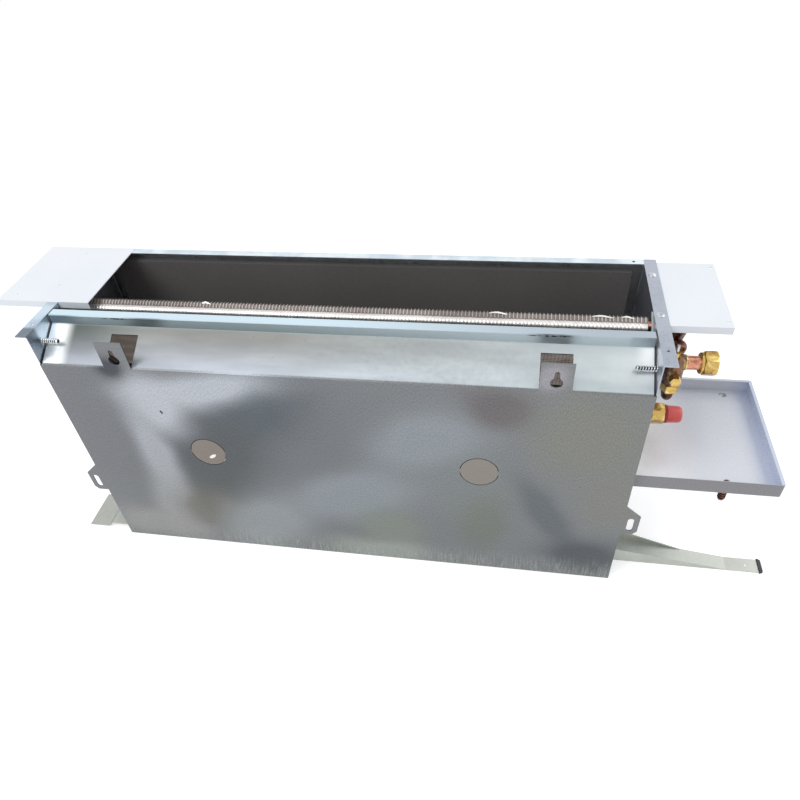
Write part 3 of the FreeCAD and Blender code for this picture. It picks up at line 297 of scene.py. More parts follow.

# Painted reflections and shade of the folds above the wall face: from where to where along X, and
# the colour there.
SHOULDER_BAND = (-0.14, 0.34, (0.285, 0.305, 0.34), (0.52, 0.585, 0.61))
UPPER_BAND = (-0.06, 0.34, (0.21, 0.214, 0.206), (0.6, 0.655, 0.675))
UPSTAND_BAND = (-0.2, 0.3, (0.25, 0.31, 0.33), (0.42, 0.495, 0.53))
RAIL_BAND = (-0.05, 0.36, (0.68, 0.83, 0.92), (0.46, 0.52, 0.58))
UPPER_ENDS = ((-0.24, -0.33, (0.1, 0.115, 0.11)), (0.345, 0.365, (0.94, 0.97, 0.98)))
LEFT_GLARE = (-0.332, -0.354, (0.95, 0.98, 0.98))
TARNISH_SCALE = (6, 30, 30)
TARNISH_SHARE = 0.35

# Heights, and depths from the wall, between which one fold's colour gives way to the next.
UPPER_FROM = (0.345, 0.371)
UPSTAND_FROM = (0.3715, 0.3745)
RAIL_FROM = (0.384, 0.3848)
FOLDS_FROM = (0.0013, 0.003)
SMUDGES = ((-0.27, 0.03), (0.255, 0.03))
SMUDGE_HEIGHT = 0.3832
SMUDGE_RISE = 0.0013
SMUDGE_COLOUR = (0.05, 0.055, 0.06)


def round_patch(tree, place, centre, reach, turn=0.0, kind="QUADRATIC_SPHERE"):
    """Factor that falls from one at a centre to nothing at its reach, on the wall face."""
    mapped = add(tree, "Mapping", Vector=place, vector_type="TEXTURE",
                 Location=(centre[0], 0, centre[1]), Rotation=(0, math.radians(-turn), 0),
                 Scale=(reach[0], 1, reach[1])).outputs[0]
    return add(tree, "TexGradient", mapped, gradient_type=kind).outputs["Fac"]


def wandering(tree, place):
    """Place shifted by slow noise, which makes the outlines of the painted reflection clouds
    uneven.
    """
    wander = add(tree, "TexNoise", Vector=place, Scale=WANDER_SCALE, Detail=2.0).outputs[1]
    shift = vector_maths(tree, "SUBTRACT", wander, (0.5, 0.5, 0.5))[0]
    shift = vector_maths(tree, "SCALE", shift, Scale=WANDER_REACH)[0]
    return vector_maths(tree, "ADD", place, shift)[0]


def edge_marks(tree, place, axes, colour):
    """Pale fringe and specks of dirt along the lower edge of the wall face."""
    height = axes[2]
    streaks = noise(tree, stretched(tree, place, FRINGE_SCALE), 1.0, detail=3.0, roughness=0.6)
    fringe = product(tree, ramp(tree, height, 0.05, 0.004), ramp(tree, streaks, 0.42, 0.66))
    fringe = product(tree, fringe, ramp(tree, axes[0], -0.27, -0.19))
    colour = blend(tree, product(tree, fringe, 0.6), colour, FRINGE_COLOUR)
    dirt = noise(tree, stretched(tree, place, DIRT_SCALE), 1.0, detail=4.0, roughness=0.7)
    spots = product(tree, ramp(tree, height, 0.03, 0.0), ramp(tree, dirt, 0.56, 0.66))
    return blend(tree, product(tree, spots, 0.5), colour, DIRT_COLOUR)


def wall_face(tree, place, axes, grain):
    """Colour of the wall face: painted reflection clouds, edge marks, weave, knock-outs, a pale
    spot and a speck.
    """
    loose = wandering(tree, place)
    colour = blend(tree, grain, *WALL_GREYS)
    # Clouds of painted reflection and shade.
    for along, up, reach_along, reach_up, turn, shade, strength in PANEL_REFLECTION_CLOUDS:
        reach = (CLOUD_REACH * reach_along * MM, CLOUD_REACH * reach_up * MM)
        patch = round_patch(tree, loose, (along * MM, up * MM), reach, turn)
        factor = product(tree, ramp(tree, patch, 0.0, CLOUD_FULL), strength)
        colour = blend(tree, factor, colour, tuple(part / 1000 for part in shade))
    colour = edge_marks(tree, place, axes, colour)
    weave = noise(tree, stretched(tree, place, WEAVE_SCALE), 1.0, detail=2.0, roughness=0.6)
    weave = ramp(tree, weave, 0.3, 0.7, 0.36, 0.66)
    colour = blend(tree, WEAVE_SHARE, colour, weave, "OVERLAY")
    # Painted reflection on the knock-out slugs.
    for along in KNOCKOUTS:
        disc = round_patch(tree, place, (along, KNOCKOUT_HEIGHT), (KNOCKOUT_RADIUS,) * 2,
                           kind="SPHERICAL")
        inside = product(tree, ramp(tree, disc, 0.0, 0.05), KNOCKOUT_SHARE)
        colour = blend(tree, inside, colour, KNOCKOUT_REFLECTION_COLOUR)
    # Pale spot inside the left knock-out.
    pale_spot = round_patch(tree, loose, KNOCKOUT_SPOT_AT, KNOCKOUT_SPOT_REACH, KNOCKOUT_SPOT_TURN, "SPHERICAL")
    colour = blend(tree, ramp(tree, pale_spot, 0.05, 0.3), colour, KNOCKOUT_SPOT_COLOUR)
    speck = round_patch(tree, place, SPECK_AT, SPECK_REACH, SPECK_TURN, "SPHERICAL")
    return blend(tree, ramp(tree, speck, 0.0, 0.4), colour, SPECK_COLOUR)


def band(tree, along, low, high, left, right, smooth=True):
    """Colour that changes from left to right between two places along X."""
    return blend(tree, ramp(tree, along, low, high, smooth=smooth), left, right)


def shoulder_finish(tree, place, along, height):
    """Sloping shoulder with painted reflections: brighter to the right, duller in its upper half,
    glaring ends.
    """
    tarnish = noise(tree, stretched(tree, place, TARNISH_SCALE), 1.0, detail=3.0)
    shoulder = band(tree, along, *SHOULDER_BAND, smooth=False)
    upper = band(tree, along, *UPPER_BAND, smooth=False)
    for low, high, shade in UPPER_ENDS:
        upper = band(tree, along, low, high, upper, shade)
    shoulder = blend(tree, ramp(tree, height, *UPPER_FROM), shoulder, upper)
    low, high, glare = LEFT_GLARE
    shoulder = band(tree, along, low, high, shoulder, glare)
    tarnish = ramp(tree, tarnish, 0.3, 0.7, 0.3, 0.72)
    return blend(tree, TARNISH_SHARE, shoulder, tarnish, "OVERLAY")


def folds(tree, place, along, height):
    """Shoulder, upstand and rail above each other in painted light and shade, with two torn
    smudges on the upstand.
    """
    colour = shoulder_finish(tree, place, along, height)
    # Painted shade on the upstand, painted reflection on the rail.
    for reach, colours in ((UPSTAND_FROM, UPSTAND_BAND), (RAIL_FROM, RAIL_BAND)):
        colour = blend(tree, ramp(tree, height, *reach), colour, band(tree, along, *colours))
    for middle, reach in SMUDGES:
        mark = round_patch(tree, place, (middle, SMUDGE_HEIGHT), (reach, SMUDGE_RISE),
                           kind="SPHERICAL")
        ragged = ramp(tree, noise(tree, place, 160.0, detail=2.0), 0.42, 0.52)
        torn = product(tree, ramp(tree, mark, 0.05, 0.3), ragged)
        colour = blend(tree, torn, colour, SMUDGE_COLOUR)
    return colour


def panel_material():
    """Back panel: wall face with painted reflection clouds, folds in painted light and shade:
    pale shoulder, darker upstand and bluish rail.
    """
    made, tree, main, place = shader("zinc_back_panel", 0.32, metallic=1.0)
    grain = zinc_grain(tree, main, place, 0.26, 0.44)
    axes = axes_of(tree, place)
    wall = wall_face(tree, place, axes, grain)
    folded = folds(tree, place, axes[0], axes[2])
    tint(main, blend(tree, ramp(tree, axes[1], *FOLDS_FROM), wall, folded))
    return made


def sheet_with_painted_highlight(name, top, plain, start, end, wall_side=1.0, shaded_end=0.0):
    """Galvanised sheet with a painted highlight above a height on its wall side, and painted
    shade over that highlight at one end.
    """
    made = galvanised(name, *plain)
    tree, main, place, sides = reopened(made)
    depth, height = axes_of(tree, place)[1:]
    clouds = noise(tree, place, 30.0, detail=3.0)
    # Painted highlight on the top face.
    bright = blend(tree, ramp(tree, clouds, 0.35, 0.65), *top)
    # Painted shade where the highlight ends.
    end_shade = product(tree, ramp(tree, depth, shaded_end, shaded_end - 0.006), 0.85)
    bright = blend(tree, end_shade, bright, (0.15, 0.18, 0.22))
    near_wall = ramp(tree, depth, wall_side + 0.03, wall_side)
    share = product(tree, near_wall, ramp(tree, height, start, end))
    tint(main, blend(tree, share, sides, bright))
    return made


def thread_material():
    """Zinc on the crests of the thread screws, with painted shade in the valleys between."""
    made = galvanised("zinc_thread", (0.5, 0.52, 0.55), (0.78, 0.8, 0.83), 0.2, 0.34)
    tree, main, place, zinc = reopened(made)
    offset = vector_maths(tree, "SUBTRACT", place, midway(*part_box("thread_screws")))[0]
    across = vector_maths(tree, "MULTIPLY", offset, (0, 1, 1))[0]
    radius = vector_maths(tree, "LENGTH", across)["Value"]
    # Painted shade in the thread's valleys.
    crest = ramp(tree, radius, 0.0021, 0.0029)
    tint(main, blend(tree, crest, (0.05, 0.055, 0.065), zinc))
    return made


# Paint, bare metal, plastic and foam

def painted(name, colour, shade, roughness=0.32):
    """Powder-coated sheet with faint waviness."""
    made, tree, main, place = shader(name, roughness, Coat_Weight=0.25, Coat_Roughness=0.12)
    broad = noise(tree, place, 7.0, detail=2.0, distortion=0.3)
    tint(main, blend(tree, ramp(tree, broad, 0.35, 0.65), shade, colour))
    peel = noise(tree, place, 700.0, detail=2.0)
    surface(tree, main, peel, (roughness - 0.05, roughness + 0.08), 0.00008, 0.4)
    return made


# Painted light and shade on the tray's enamel: axis, from where to where, colour.
TRAY_ZONES = ((0, (0.47, 0.385), (0.95, 0.95, 0.96)), (0, (0.515, 0.546), (0.61, 0.67, 0.82)),
              (1, (0.0112, 0.0103), (0.24, 0.24, 0.26)))


def tray_material():
    """Light grey enamel: painted light near the casing, bluish painted shade outside, a shaded
    front rim.
    """
    made = painted("tray_paint", (0.7, 0.73, 0.79), (0.64, 0.67, 0.73), 0.24)
    tree, main, place, colour = reopened(made)
    axes = axes_of(tree, place)
    # Painted light and shade by place.
    for axis, reach, shade in TRAY_ZONES:
        colour = blend(tree, ramp(tree, axes[axis], *reach), colour, shade)
    tint(main, colour)
    return made


def drawn_metal(name, colours, scale, low, high, streak=(1, 1, 1)):
    """Copper, brass or steel with stains: three shades over a stretched noise."""
    made, tree, main, place = shader(name, low, metallic=1.0)
    stains = noise(tree, stretched(tree, place, streak), scale, detail=5.0, roughness=0.62,
                   distortion=0.6)
    colour = blend(tree, ramp(tree, stains, 0.34, 0.5), colours[0], colours[1])
    tint(main, blend(tree, ramp(tree, stains, 0.52, 0.66), colour, colours[2]))
    fine = noise(tree, place, 1400.0, detail=3.0)
    surface(tree, main, fine, (low, high), 0.00006, 0.5)
    return made


def foam_material(name, dark, light, grain, depth):
    """Matt foam with open cells and broad unevenness."""
    made, tree, main, place = shader(name, 0.9, Sheen_Weight=0.12, Sheen_Roughness=0.6)
    cells = add(tree, "TexVoronoi", Vector=place, Scale=grain).outputs[0]
    broad = noise(tree, place, 5.0, detail=3.0)
    mixed = maths(tree, "ADD", product(tree, cells, 0.4), product(tree, broad, 0.8))
    tint(main, blend(tree, ramp(tree, mixed, 0.3, 0.9), dark, light))
    surface(tree, main, cells, (0.8, 0.95), depth, 0.7, ends=(0.0, 1.0))
    return made


def moulded(name, dark, light, roughness, grain=900.0, **sockets):
    """Injection-moulded plastic or rubber with a fine skin texture."""
    made, tree, main, place = shader(name, roughness, **sockets)
    skin = noise(tree, place, grain, detail=3.0)
    broad = noise(tree, place, 40.0, detail=2.0)
    tint(main, blend(tree, ramp(tree, broad, 0.3, 0.7), dark, light))
    surface(tree, main, skin, (roughness - 0.06, roughness + 0.08), 0.00007, 0.5)
    return made


CAP_RIM = (0.0042, 0.0036)


def cap_material():
    """Pink-red cap plastic, dark red at the rim of its mouth."""
    made = moulded("red_plastic", (0.74, 0.075, 0.065), (0.95, 0.19, 0.17), 0.34, 500.0,
                   Subsurface_Weight=0.05)
    tree, main, place, body = reopened(made)
    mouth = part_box("protective_cap")[0].x
    rim = ramp(tree, axes_of(tree, place)[0], mouth + CAP_RIM[0], mouth + CAP_RIM[1])
    tint(main, blend(tree, rim, body, (0.36, 0.02, 0.02)))
    return made


def cloth_material(name, dark, light):
    """Filter net: crossed threads."""
    made, tree, main, place = shader(name, 0.85, Sheen_Weight=0.2)
    threads = []
    for turn in (0, math.pi / 2):
        turned_place = stretched(tree, place, (1, 1, 1), (0, 0, turn))
        threads.append(add(tree, "TexWave", Vector=turned_place, Scale=160.0).outputs[1])
    woven = maths(tree, "MAXIMUM", *threads)
    tint(main, blend(tree, woven, dark, light))
    surface(tree, main, woven, (0.95, 0.75), 0.0002, 0.8, ends=(0.0, 1.0))
    return made


# Painted shade lines on the rear foil, and the strength of its painted glow.
GRID_PITCH = 0.0042
GRID_BAR = 0.0007
THROUGH_GLOW = 0.24


def rear_fin_material():
    """Brownish foil seen through the windows, painted lighter than the fins, with painted shade
    lines and a painted glow for what passes the pack.
    """
    made, tree, main, place = shader("fin_rear", 0.7)
    stains = noise(tree, place, 60.0, detail=4.0, roughness=0.6)
    foil = blend(tree, ramp(tree, stains, 0.35, 0.65), (0.5, 0.42, 0.37), (0.72, 0.63, 0.57))
    # Painted shade lines between the ripples.
    wave = maths(tree, "PINGPONG", axes_of(tree, place)[2], GRID_PITCH / 2)
    foil = blend(tree, ramp(tree, wave, 0.0, GRID_BAR), (0.2, 0.17, 0.15), foil)
    tint(main, foil)
    # Painted glow for light that passes the pack.
    join(tree, main.inputs["Emission Color"], foil)
    main.inputs["Emission Strength"].default_value = THROUGH_GLOW
    return made


MATERIALS = {
    "panel": panel_material(),
    "galvanised": galvanised("zinc_sheet", (0.34, 0.38, 0.4), (0.5, 0.54, 0.56)),
    "flange": galvanised("zinc_flange", (0.33, 0.37, 0.43), (0.47, 0.51, 0.58)),
    "left_flange": sheet_with_painted_highlight(
        "zinc_left_flange", top=((0.46, 0.55, 0.66), (0.64, 0.77, 0.88)),
        plain=((0.36, 0.4, 0.44), (0.5, 0.54, 0.58)), start=0.29, end=0.34,
        wall_side=0.06, shaded_end=0.022),
    "front_rail": sheet_with_painted_highlight(
        "zinc_front", top=((0.62, 0.72, 0.8), (0.84, 0.93, 0.97)),
        plain=((0.34, 0.38, 0.4), (0.48, 0.52, 0.54)), start=0.38, end=0.3845),
    "arm": galvanised("zinc_arm", (0.37, 0.4, 0.37), (0.52, 0.53, 0.49), 0.34, 0.5),
    "white_paint": painted("white_paint", (0.84, 0.87, 0.93), (0.8, 0.84, 0.91)),
    "tray_paint": tray_material(),
    "fin_foil": galvanised("fin_foil", (0.34, 0.31, 0.3), (0.6, 0.57, 0.55), 0.3, 0.45),
    # Lighter copy of the fin foil: painted highlight.
    "fin_collar": galvanised("fin_collar", (0.62, 0.59, 0.575), (0.8, 0.775, 0.76), 0.34, 0.48),
    # Darker copy of the fin foil: painted shade between the fins.
    "fin_louvre": galvanised("fin_louvre", (0.17, 0.145, 0.135), (0.26, 0.225, 0.21), 0.38, 0.52),
    "fin_rear": rear_fin_material(),
    "zinc_thread": thread_material(),
    "braze": drawn_metal(
        "braze_alloy", ((0.45, 0.33, 0.12), (0.7, 0.55, 0.22), (0.86, 0.72, 0.36)),
        240.0, 0.18, 0.34),
    "copper": drawn_metal(
        "copper_pipe", ((0.38, 0.16, 0.1), (0.66, 0.31, 0.21), (0.8, 0.45, 0.33)),
        70.0, 0.22, 0.38, streak=(1, 1.4, 1)),
    "dark_copper": drawn_metal(
        "copper_stained", ((0.05, 0.026, 0.018), (0.17, 0.085, 0.06), (0.38, 0.18, 0.12)),
        80.0, 0.25, 0.45),
    "stained_brass": drawn_metal(
        "stained_brass", ((0.09, 0.05, 0.03), (0.22, 0.13, 0.08), (0.5, 0.34, 0.16)),
        90.0, 0.2, 0.36),
    "brass": drawn_metal(
        "brass_fitting", ((0.32, 0.19, 0.05), (0.6, 0.41, 0.13), (0.82, 0.64, 0.28)),
        90.0, 0.16, 0.32),
    "zinc_screw": drawn_metal(
        "zinc_screw", ((0.4, 0.41, 0.42), (0.62, 0.63, 0.65), (0.8, 0.81, 0.83)),
        160.0, 0.18, 0.3),
    "shaft_steel": drawn_metal(
        "shaft_steel", ((0.32, 0.33, 0.34), (0.46, 0.47, 0.48), (0.58, 0.59, 0.6)),
        50.0, 0.18, 0.3, streak=(1, 20, 20)),
    "motor_paint": painted("motor_enamel", (0.03, 0.032, 0.035), (0.02, 0.022, 0.024), 0.4),
    "dark_foam": foam_material("foam_lining", (0.075, 0.068, 0.068), (0.105, 0.096, 0.095),
                               grain=520.0, depth=0.0003),
    "pan_foam": foam_material("pan_foam", (0.66, 0.66, 0.63), (0.8, 0.8, 0.77),
                              grain=260.0, depth=0.0005),
    "black_rubber": moulded("black_rubber", (0.012, 0.012, 0.013), (0.022, 0.022, 0.023), 0.6),
    "black_plastic": moulded("black_plastic", (0.015, 0.016, 0.018), (0.03, 0.032, 0.035), 0.42),
    "grey_plastic": moulded("grey_plastic", (0.27, 0.28, 0.29), (0.33, 0.34, 0.35), 0.45),
    "red_plastic": cap_material(),
    "filter_cloth": cloth_material("filter_cloth", (0.2, 0.22, 0.24), (0.5, 0.53, 0.56)),
}

# Nodes whose finish isn't that of their slot.
SPECIAL = {
    "back_panel": "panel", "front_panel": "front_rail", "end_plate_left": "left_flange",
    "end_plate_right": "flange", "support_arm_left": "arm", "support_arm_right": "arm",
    "drip_tray": "tray_paint", "return_header": "dark_copper", "return_riser": "dark_copper",
    "supply_header": "dark_copper", "supply_pipe": "dark_copper", "drain_spout": "dark_copper",
    "drain_spigot": "dark_copper", "coil_fins": "fin_foil", "valve_body": "stained_brass",
}


def dress_frame():
    """Every carried-over node takes the finish of its slot."""
    slots = {row["node"]: row["material_slot"] for row in frame["record"]["subparts"]}
    for name, node in NODES.items():
        node.data.materials.clear()
        node.data.materials.append(MATERIALS[SPECIAL.get(name, slots[name])])


# Mesh helpers

SHARP_ANGLE = math.radians(38)


def linked(name, mesh):
    """New object in the scene for a mesh."""
    made = bpy.data.objects.new(name, mesh)
    SCENE.collection.objects.link(made)
    return made


def piece(name, stock, material, body="chassis", stands_for=(), smooth=True):
    """New mesh that rides on a body and, where named, stands for a node."""
    mesh = bpy.data.meshes.new(name)
    mesh.from_pydata([tuple(p) for p in stock.points], [], stock.faces)
    mesh.update()
    if smooth:
        mesh.polygons.foreach_set("use_smooth", [True] * len(mesh.polygons))
        mesh.set_sharp_from_angle(angle=SHARP_ANGLE)
    made = linked(name, mesh)
    mesh.materials.append(MATERIALS[material])
    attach(made, body)
    if stands_for:
        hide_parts(*stands_for)


class Stock:
    """Points and faces gathered from several shapes for one piece."""

    def __init__(self):
        self.points = []
        self.faces = []

    def take(self, points, faces):
        base = len(self.points)
        self.points += points
        self.faces += [[base + index for index in face] for face in faces]

    def slab(self, outline, low, high):
        """Flat plate square to X with an outline in Y and Z."""
        count = len(outline)
        points = [Vector((x, y, z)) for x in (low, high) for y, z in outline]
        faces = [list(range(count))[::-1], list(range(count, 2 * count))]
        faces += [[i, (i + 1) % count, count + (i + 1) % count, count + i]
                  for i in range(count)]
        self.take(points, faces)

    def skin(self, rings, closed_ends=True):
        """Surface through rings of points, each ring closed on itself."""
        count = len(rings[0])
        points = [p for r in rings for p in r]
        faces = []
        for level in range(len(rings) - 1):
            for i in range(count):
                a, b = level * count + i, level * count + (i + 1) % count
                faces.append([a, b, b + count, a + count])
        if closed_ends:
            faces.append(list(range(count))[::-1])
            last = (len(rings) - 1) * count
            faces.append(list(range(last, last + count)))
        self.take(points, faces)


def frame_about(axis):
    """Two directions square to an axis."""
    axis = Vector(axis).normalized()
    first = Vector((0, 0, 1)) if abs(axis.z) < 0.9 else Vector((0, 1, 0))
    first = (first - axis * first.dot(axis)).normalized()
    return axis, first, axis.cross(first)


def rings_about(base, axis, rows, radius_at=None, steps=48):
    """Rings about an axis: rows are (distance along, radius), a function may vary the radius."""
    axis, first, second = frame_about(axis)
    rings = []
    for along, radius in rows:
        ring = []
        for step in range(steps):
            angle = TURN * step / steps
            size = radius_at(angle, along, radius) if radius_at else radius
            ring.append(base + axis * along
                        + (first * math.cos(angle) + second * math.sin(angle)) * size)
        rings.append(ring)
    return rings


def turned(stock, base, axis, rows, radius_at=None, steps=48):
    """Solid turned about an axis."""
    stock.skin(rings_about(base, axis, rows, radius_at, steps))


def closed_skin(stock, rings):
    """Skin whose last ring joins its first, as for a nut with a bore."""
    stock.skin(rings + rings[:1], closed_ends=False)


# Fin pack, drawn much closer than the plain plates that stand for it

FIN_PITCH = 4.4 * MM
FIN_SHEET = 0.3 * MM
COIL_BACK = 67 * MM
COIL_TOP = 360 * MM
COIL_TILT = math.radians(30)
COIL_WIDTH = 40 * MM
COIL_LENGTH = 150 * MM
TUBE_RADIUS = 4.76 * MM
TUBE_PITCH = 25 * MM
TUBE_FIRST = 6.25 * MM
TUBES_IN_ROW = 6
REAR_ROW = 10 * MM
FRONT_ROW = 30 * MM
COLLAR_SHEET = 0.3 * MM
RIDGE_ACROSS = 25.4 * MM
RIDGE_ALONG = 3.8 * MM
RIDGE_RADIUS = 5.6 * MM
RIDGE_END = 1 * MM
RIB_DEPTH = 0.35 * MM
RIB_PROFILE = ((0.06, RIB_DEPTH), (0.2, 0.15 * MM), (0.5, 0), (0.8, 0.15 * MM),
               (0.94, RIB_DEPTH))
RIB_LIFT = 0.1 * MM
LOUVRE_START = 8 * MM
LOUVRE_MARGIN = 12 * MM
LOUVRE_PITCH = 4.2 * MM
LOUVRE_DEPTH = 0.9 * MM
LOUVRE_INSET = 0.5 * MM

# Outlines in the slanted section, as (along, across) in millimetres.
FIN_OUTLINE = ((2.6, 0), (0.9, 3), (0.6, 17), (1.6, 19), (1.6, 29), (0.5, 30.5), (0.9, 37),
               (4.2, 40), (150, 40), (150, 0))
FRONT_HEM = ((0.3, 30.4), (0.7, 37.1), (4.1, 40.2), (5.2, 39.4), (2.4, 36.4), (1.9, 30.4))
REAR_HEM = ((0.4, 4.0), (0.4, 17.4), (1.5, 17.4), (1.5, 4.0))
TOP_FIELD = ((1.7, 30), (1.7, 36.8), (5.2, 39.6), (9, 39.6), (9, 39.2), (5.4, 39.1),
             (2.1, 36.5), (2.1, 30))
HEMS = ((FRONT_HEM, 0.55 * MM), (REAR_HEM, 0.8 * MM))
HEM_LEAN = 0.25 * MM

# Bent scraps of foil on the front fin edges: place along X, length in metres, rise in mm.
SNAGS = ((0.195, 0.022, 0.12), (0.315, 0.024, 0.2), (0.343, 0.014, 0.1),
         (-0.1755, 0.011, 0.1))
SNAG_STEPS = 6
SNAG_ACROSS = 36.0
SNAG_WAVE = 1.2


def coil_place(along, across):
    """Point of the slanted coil section: along runs down the slant, across to the room."""
    y = COIL_BACK + across * math.cos(COIL_TILT) + along * math.sin(COIL_TILT)
    z = COIL_TOP + across * math.sin(COIL_TILT) - along * math.cos(COIL_TILT)
    return y, z


def in_coil(rows):
    """Slanted places of rows given as (along, across) in millimetres."""
    return [coil_place(along * MM, across * MM) for along, across in rows]


def louvre_sheet(stock, low, high, across, inward):
    """Thin rippled field along a long edge of the fins, which closes the view between them."""
    face = []
    for step in range(int((COIL_LENGTH - LOUVRE_MARGIN) / LOUVRE_PITCH)):
        along = LOUVRE_START + step * LOUVRE_PITCH
        face.append((along, across + inward * LOUVRE_INSET))
        face.append((along + LOUVRE_PITCH / 2, across + inward * (LOUVRE_INSET + LOUVRE_DEPTH)))
    back = [(along, edge + inward * FIN_SHEET) for along, edge in reversed(face)]
    stock.slab([coil_place(*row) for row in face + back], low, high)


def hemmed_fins(low, high):
    """Fins across the whole pack, each with a leaning hem on its two upper corners."""
    fins = Stock()
    outline = in_coil(FIN_OUTLINE)
    hems = [(in_coil(hem), half) for hem, half in HEMS]
    count = int((high - low) / FIN_PITCH)
    first = (low + high) / 2 - (count - 1) * FIN_PITCH / 2
    for number in range(count):
        x = first + number * FIN_PITCH
        lean = random.uniform(-HEM_LEAN, HEM_LEAN)
        fins.slab(outline, x - FIN_SHEET / 2, x + FIN_SHEET / 2)
        for hem, half in hems:
            fins.slab(hem, x - half + lean, x + half + lean)
    return fins


def coil_fins():
    """The fin pack with its rippled fields, tube collars, ridge and scraps of foil."""
    low, high = (corner.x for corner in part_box("coil_fins"))
    fins, rear, front = hemmed_fins(low, high), Stock(), Stock()
    louvre_sheet(rear, low, high, 0.0, 1)
    louvre_sheet(front, low, high, COIL_WIDTH, -1)
    front.slab(in_coil(TOP_FIELD), low, high)
    piece("fin_rear_louvres", rear, "fin_rear", smooth=False)
    piece("fin_pack", fins, "fin_foil", stands_for=("coil_fins",),
          smooth=False)
    # Front field between the fins in painted shade.
    piece("fin_louvres", front, "fin_louvre", smooth=False)
    tube_collars(low, high)
    collar_ridge(low, high)
    foil_snags()


def tube_collars(low, high):
    """Fin collars that sheathe the copper tubes between the fins, in the darker foil of painted
    shade.
    """
    collars = Stock()
    radius = TUBE_RADIUS + COLLAR_SHEET
    for across, stagger in ((REAR_ROW, TUBE_PITCH / 2), (FRONT_ROW, 0)):
        for number in range(TUBES_IN_ROW):
            along = TUBE_FIRST + stagger + number * TUBE_PITCH
            base = Vector((low, *coil_place(along, across)))
            turned(collars, base, (1, 0, 0), [(0, radius), (high - low, radius)], steps=20)
    piece("fin_collars", collars, "fin_louvre")


def collar_ridge(low, high):
    """Ribbed sleeve along the top of the pack, one rib to a fin, in the lighter foil of painted
    highlight.
    """
    sleeve = Stock()
    end_radius = RIDGE_RADIUS - RIB_DEPTH
    rows = [(low + RIDGE_END, end_radius)]
    count = int((high - low - 2 * RIDGE_END) / FIN_PITCH)
    start = (low + high) / 2 - count * FIN_PITCH / 2
    for number in range(count):
        x = start + number * FIN_PITCH
        lift = random.uniform(-RIB_LIFT, RIB_LIFT)
        rows += [(x + share * FIN_PITCH, RIDGE_RADIUS - inset + lift)
                 for share, inset in RIB_PROFILE]
    rows.append((high - RIDGE_END, end_radius))
    turned(sleeve, Vector((0, *coil_place(RIDGE_ALONG, RIDGE_ACROSS))), (1, 0, 0), rows,
           steps=28)
    piece("fin_collar_ridge", sleeve, "fin_collar")


def foil_snags():
    """Bent scraps of foil, each bowed up in its middle and thin at its ends."""
    scraps = Stock()
    for x, length, rise in SNAGS:
        rows = []
        for step in range(SNAG_STEPS + 1):
            part = step / SNAG_STEPS
            bow = math.sin(math.pi * part)
            along = -rise * MM * bow + 0.5 * MM
            across = (SNAG_ACROSS + SNAG_WAVE * math.sin(part * 4)) * MM
            wide = (0.3 + 0.7 * bow) * MM
            y0, z0 = coil_place(along, across - wide)
            y1, z1 = coil_place(along - 0.3 * MM, across + wide)
            here = x + length * (part - 0.5)
            rows.append([Vector((here, y0, z0)), Vector((here, y1, z1)),
                         Vector((here, y1, z1 - 0.15 * MM)), Vector((here, y0, z0 - 0.15 * MM))])
        scraps.skin(rows)
    # Scraps in the lighter foil of painted highlight.
    piece("foil_snags", scraps, "fin_collar")


# Threads and screws

THREAD_STEPS = 8
SCREW_HEAD = 2.4 * MM
SCREW_LENGTH = 24 * MM
SCREW_RADIUS = 3.2 * MM
SCREW_ROOT = 0.6
SCREW_CREST = 1.02
SCREW_PITCH = 2.9 * MM

# Pan head and its cross, as shares of the head's height and radius.
HEAD_PROFILE = ((0.0, 1.0), (0.45, 1.0), (0.72, 0.95), (0.88, 0.84), (0.96, 0.68), (1.0, 0.56),
                (1.0, 0.5), (1.0, 0.4), (1.0, 0.3), (1.0, 0.22), (1.0, 0.15), (1.0, 0.08))
CROSS_ARM = 0.11 * 1.6
CROSS_REACH = 0.52
CROSS_DEPTH = 0.62

# Screws in pairs: name, node, axis, direction from one to the other, height of the head.
SCREW_PAIRS = (("flange_screw_heads", "flange_screws", 2, 1, 1.0 * MM),
               ("tray_screw_heads", "tray_screws", 0, 1, 2.4 * MM),
               ("arm_screw_heads", "arm_screws", 0, 2, 2.4 * MM))
SHANK_ROOT = 1.5 * MM
SHANK_CREST = 1.9 * MM
SHANK_PITCH = 1.3 * MM


def helix(stock, base, axis, length, root, crest, pitch, steps=40):
    """Thread ridges wound about an axis, closed to a point at both ends."""
    def ridge(angle, along, limit):
        phase = (along / pitch + angle / TURN) % 1
        rise = min(1, max(0, 1.35 - 3.4 * abs(phase - 0.5)))
        return min(limit, root + (crest - root) * rise)

    count = int(length / pitch * THREAD_STEPS)
    rows = [(length * number / count, crest) for number in range(count + 1)]
    stock.skin(rings_about(base, axis, [(0, 0), *rows, (length, 0)], ridge, steps),
               closed_ends=False)


def cross_head(stock, base, axis, radius, height):
    """Pan head with a cross recess, standing on a surface."""
    axis, first, second = frame_about(axis)
    steps = 48
    rings = []
    for share, part in HEAD_PROFILE:
        ring = []
        for number in range(steps):
            angle = TURN * number / steps
            u, v = radius * part * math.cos(angle), radius * part * math.sin(angle)
            wide, far = sorted((abs(u), abs(v)))
            in_cross = wide < CROSS_ARM * radius and far < CROSS_REACH * radius
            sunk = CROSS_DEPTH * height if in_cross else 0
            ring.append(base + axis * (height * share - sunk) + first * u + second * v)
        rings.append(ring)
    stock.skin(rings)


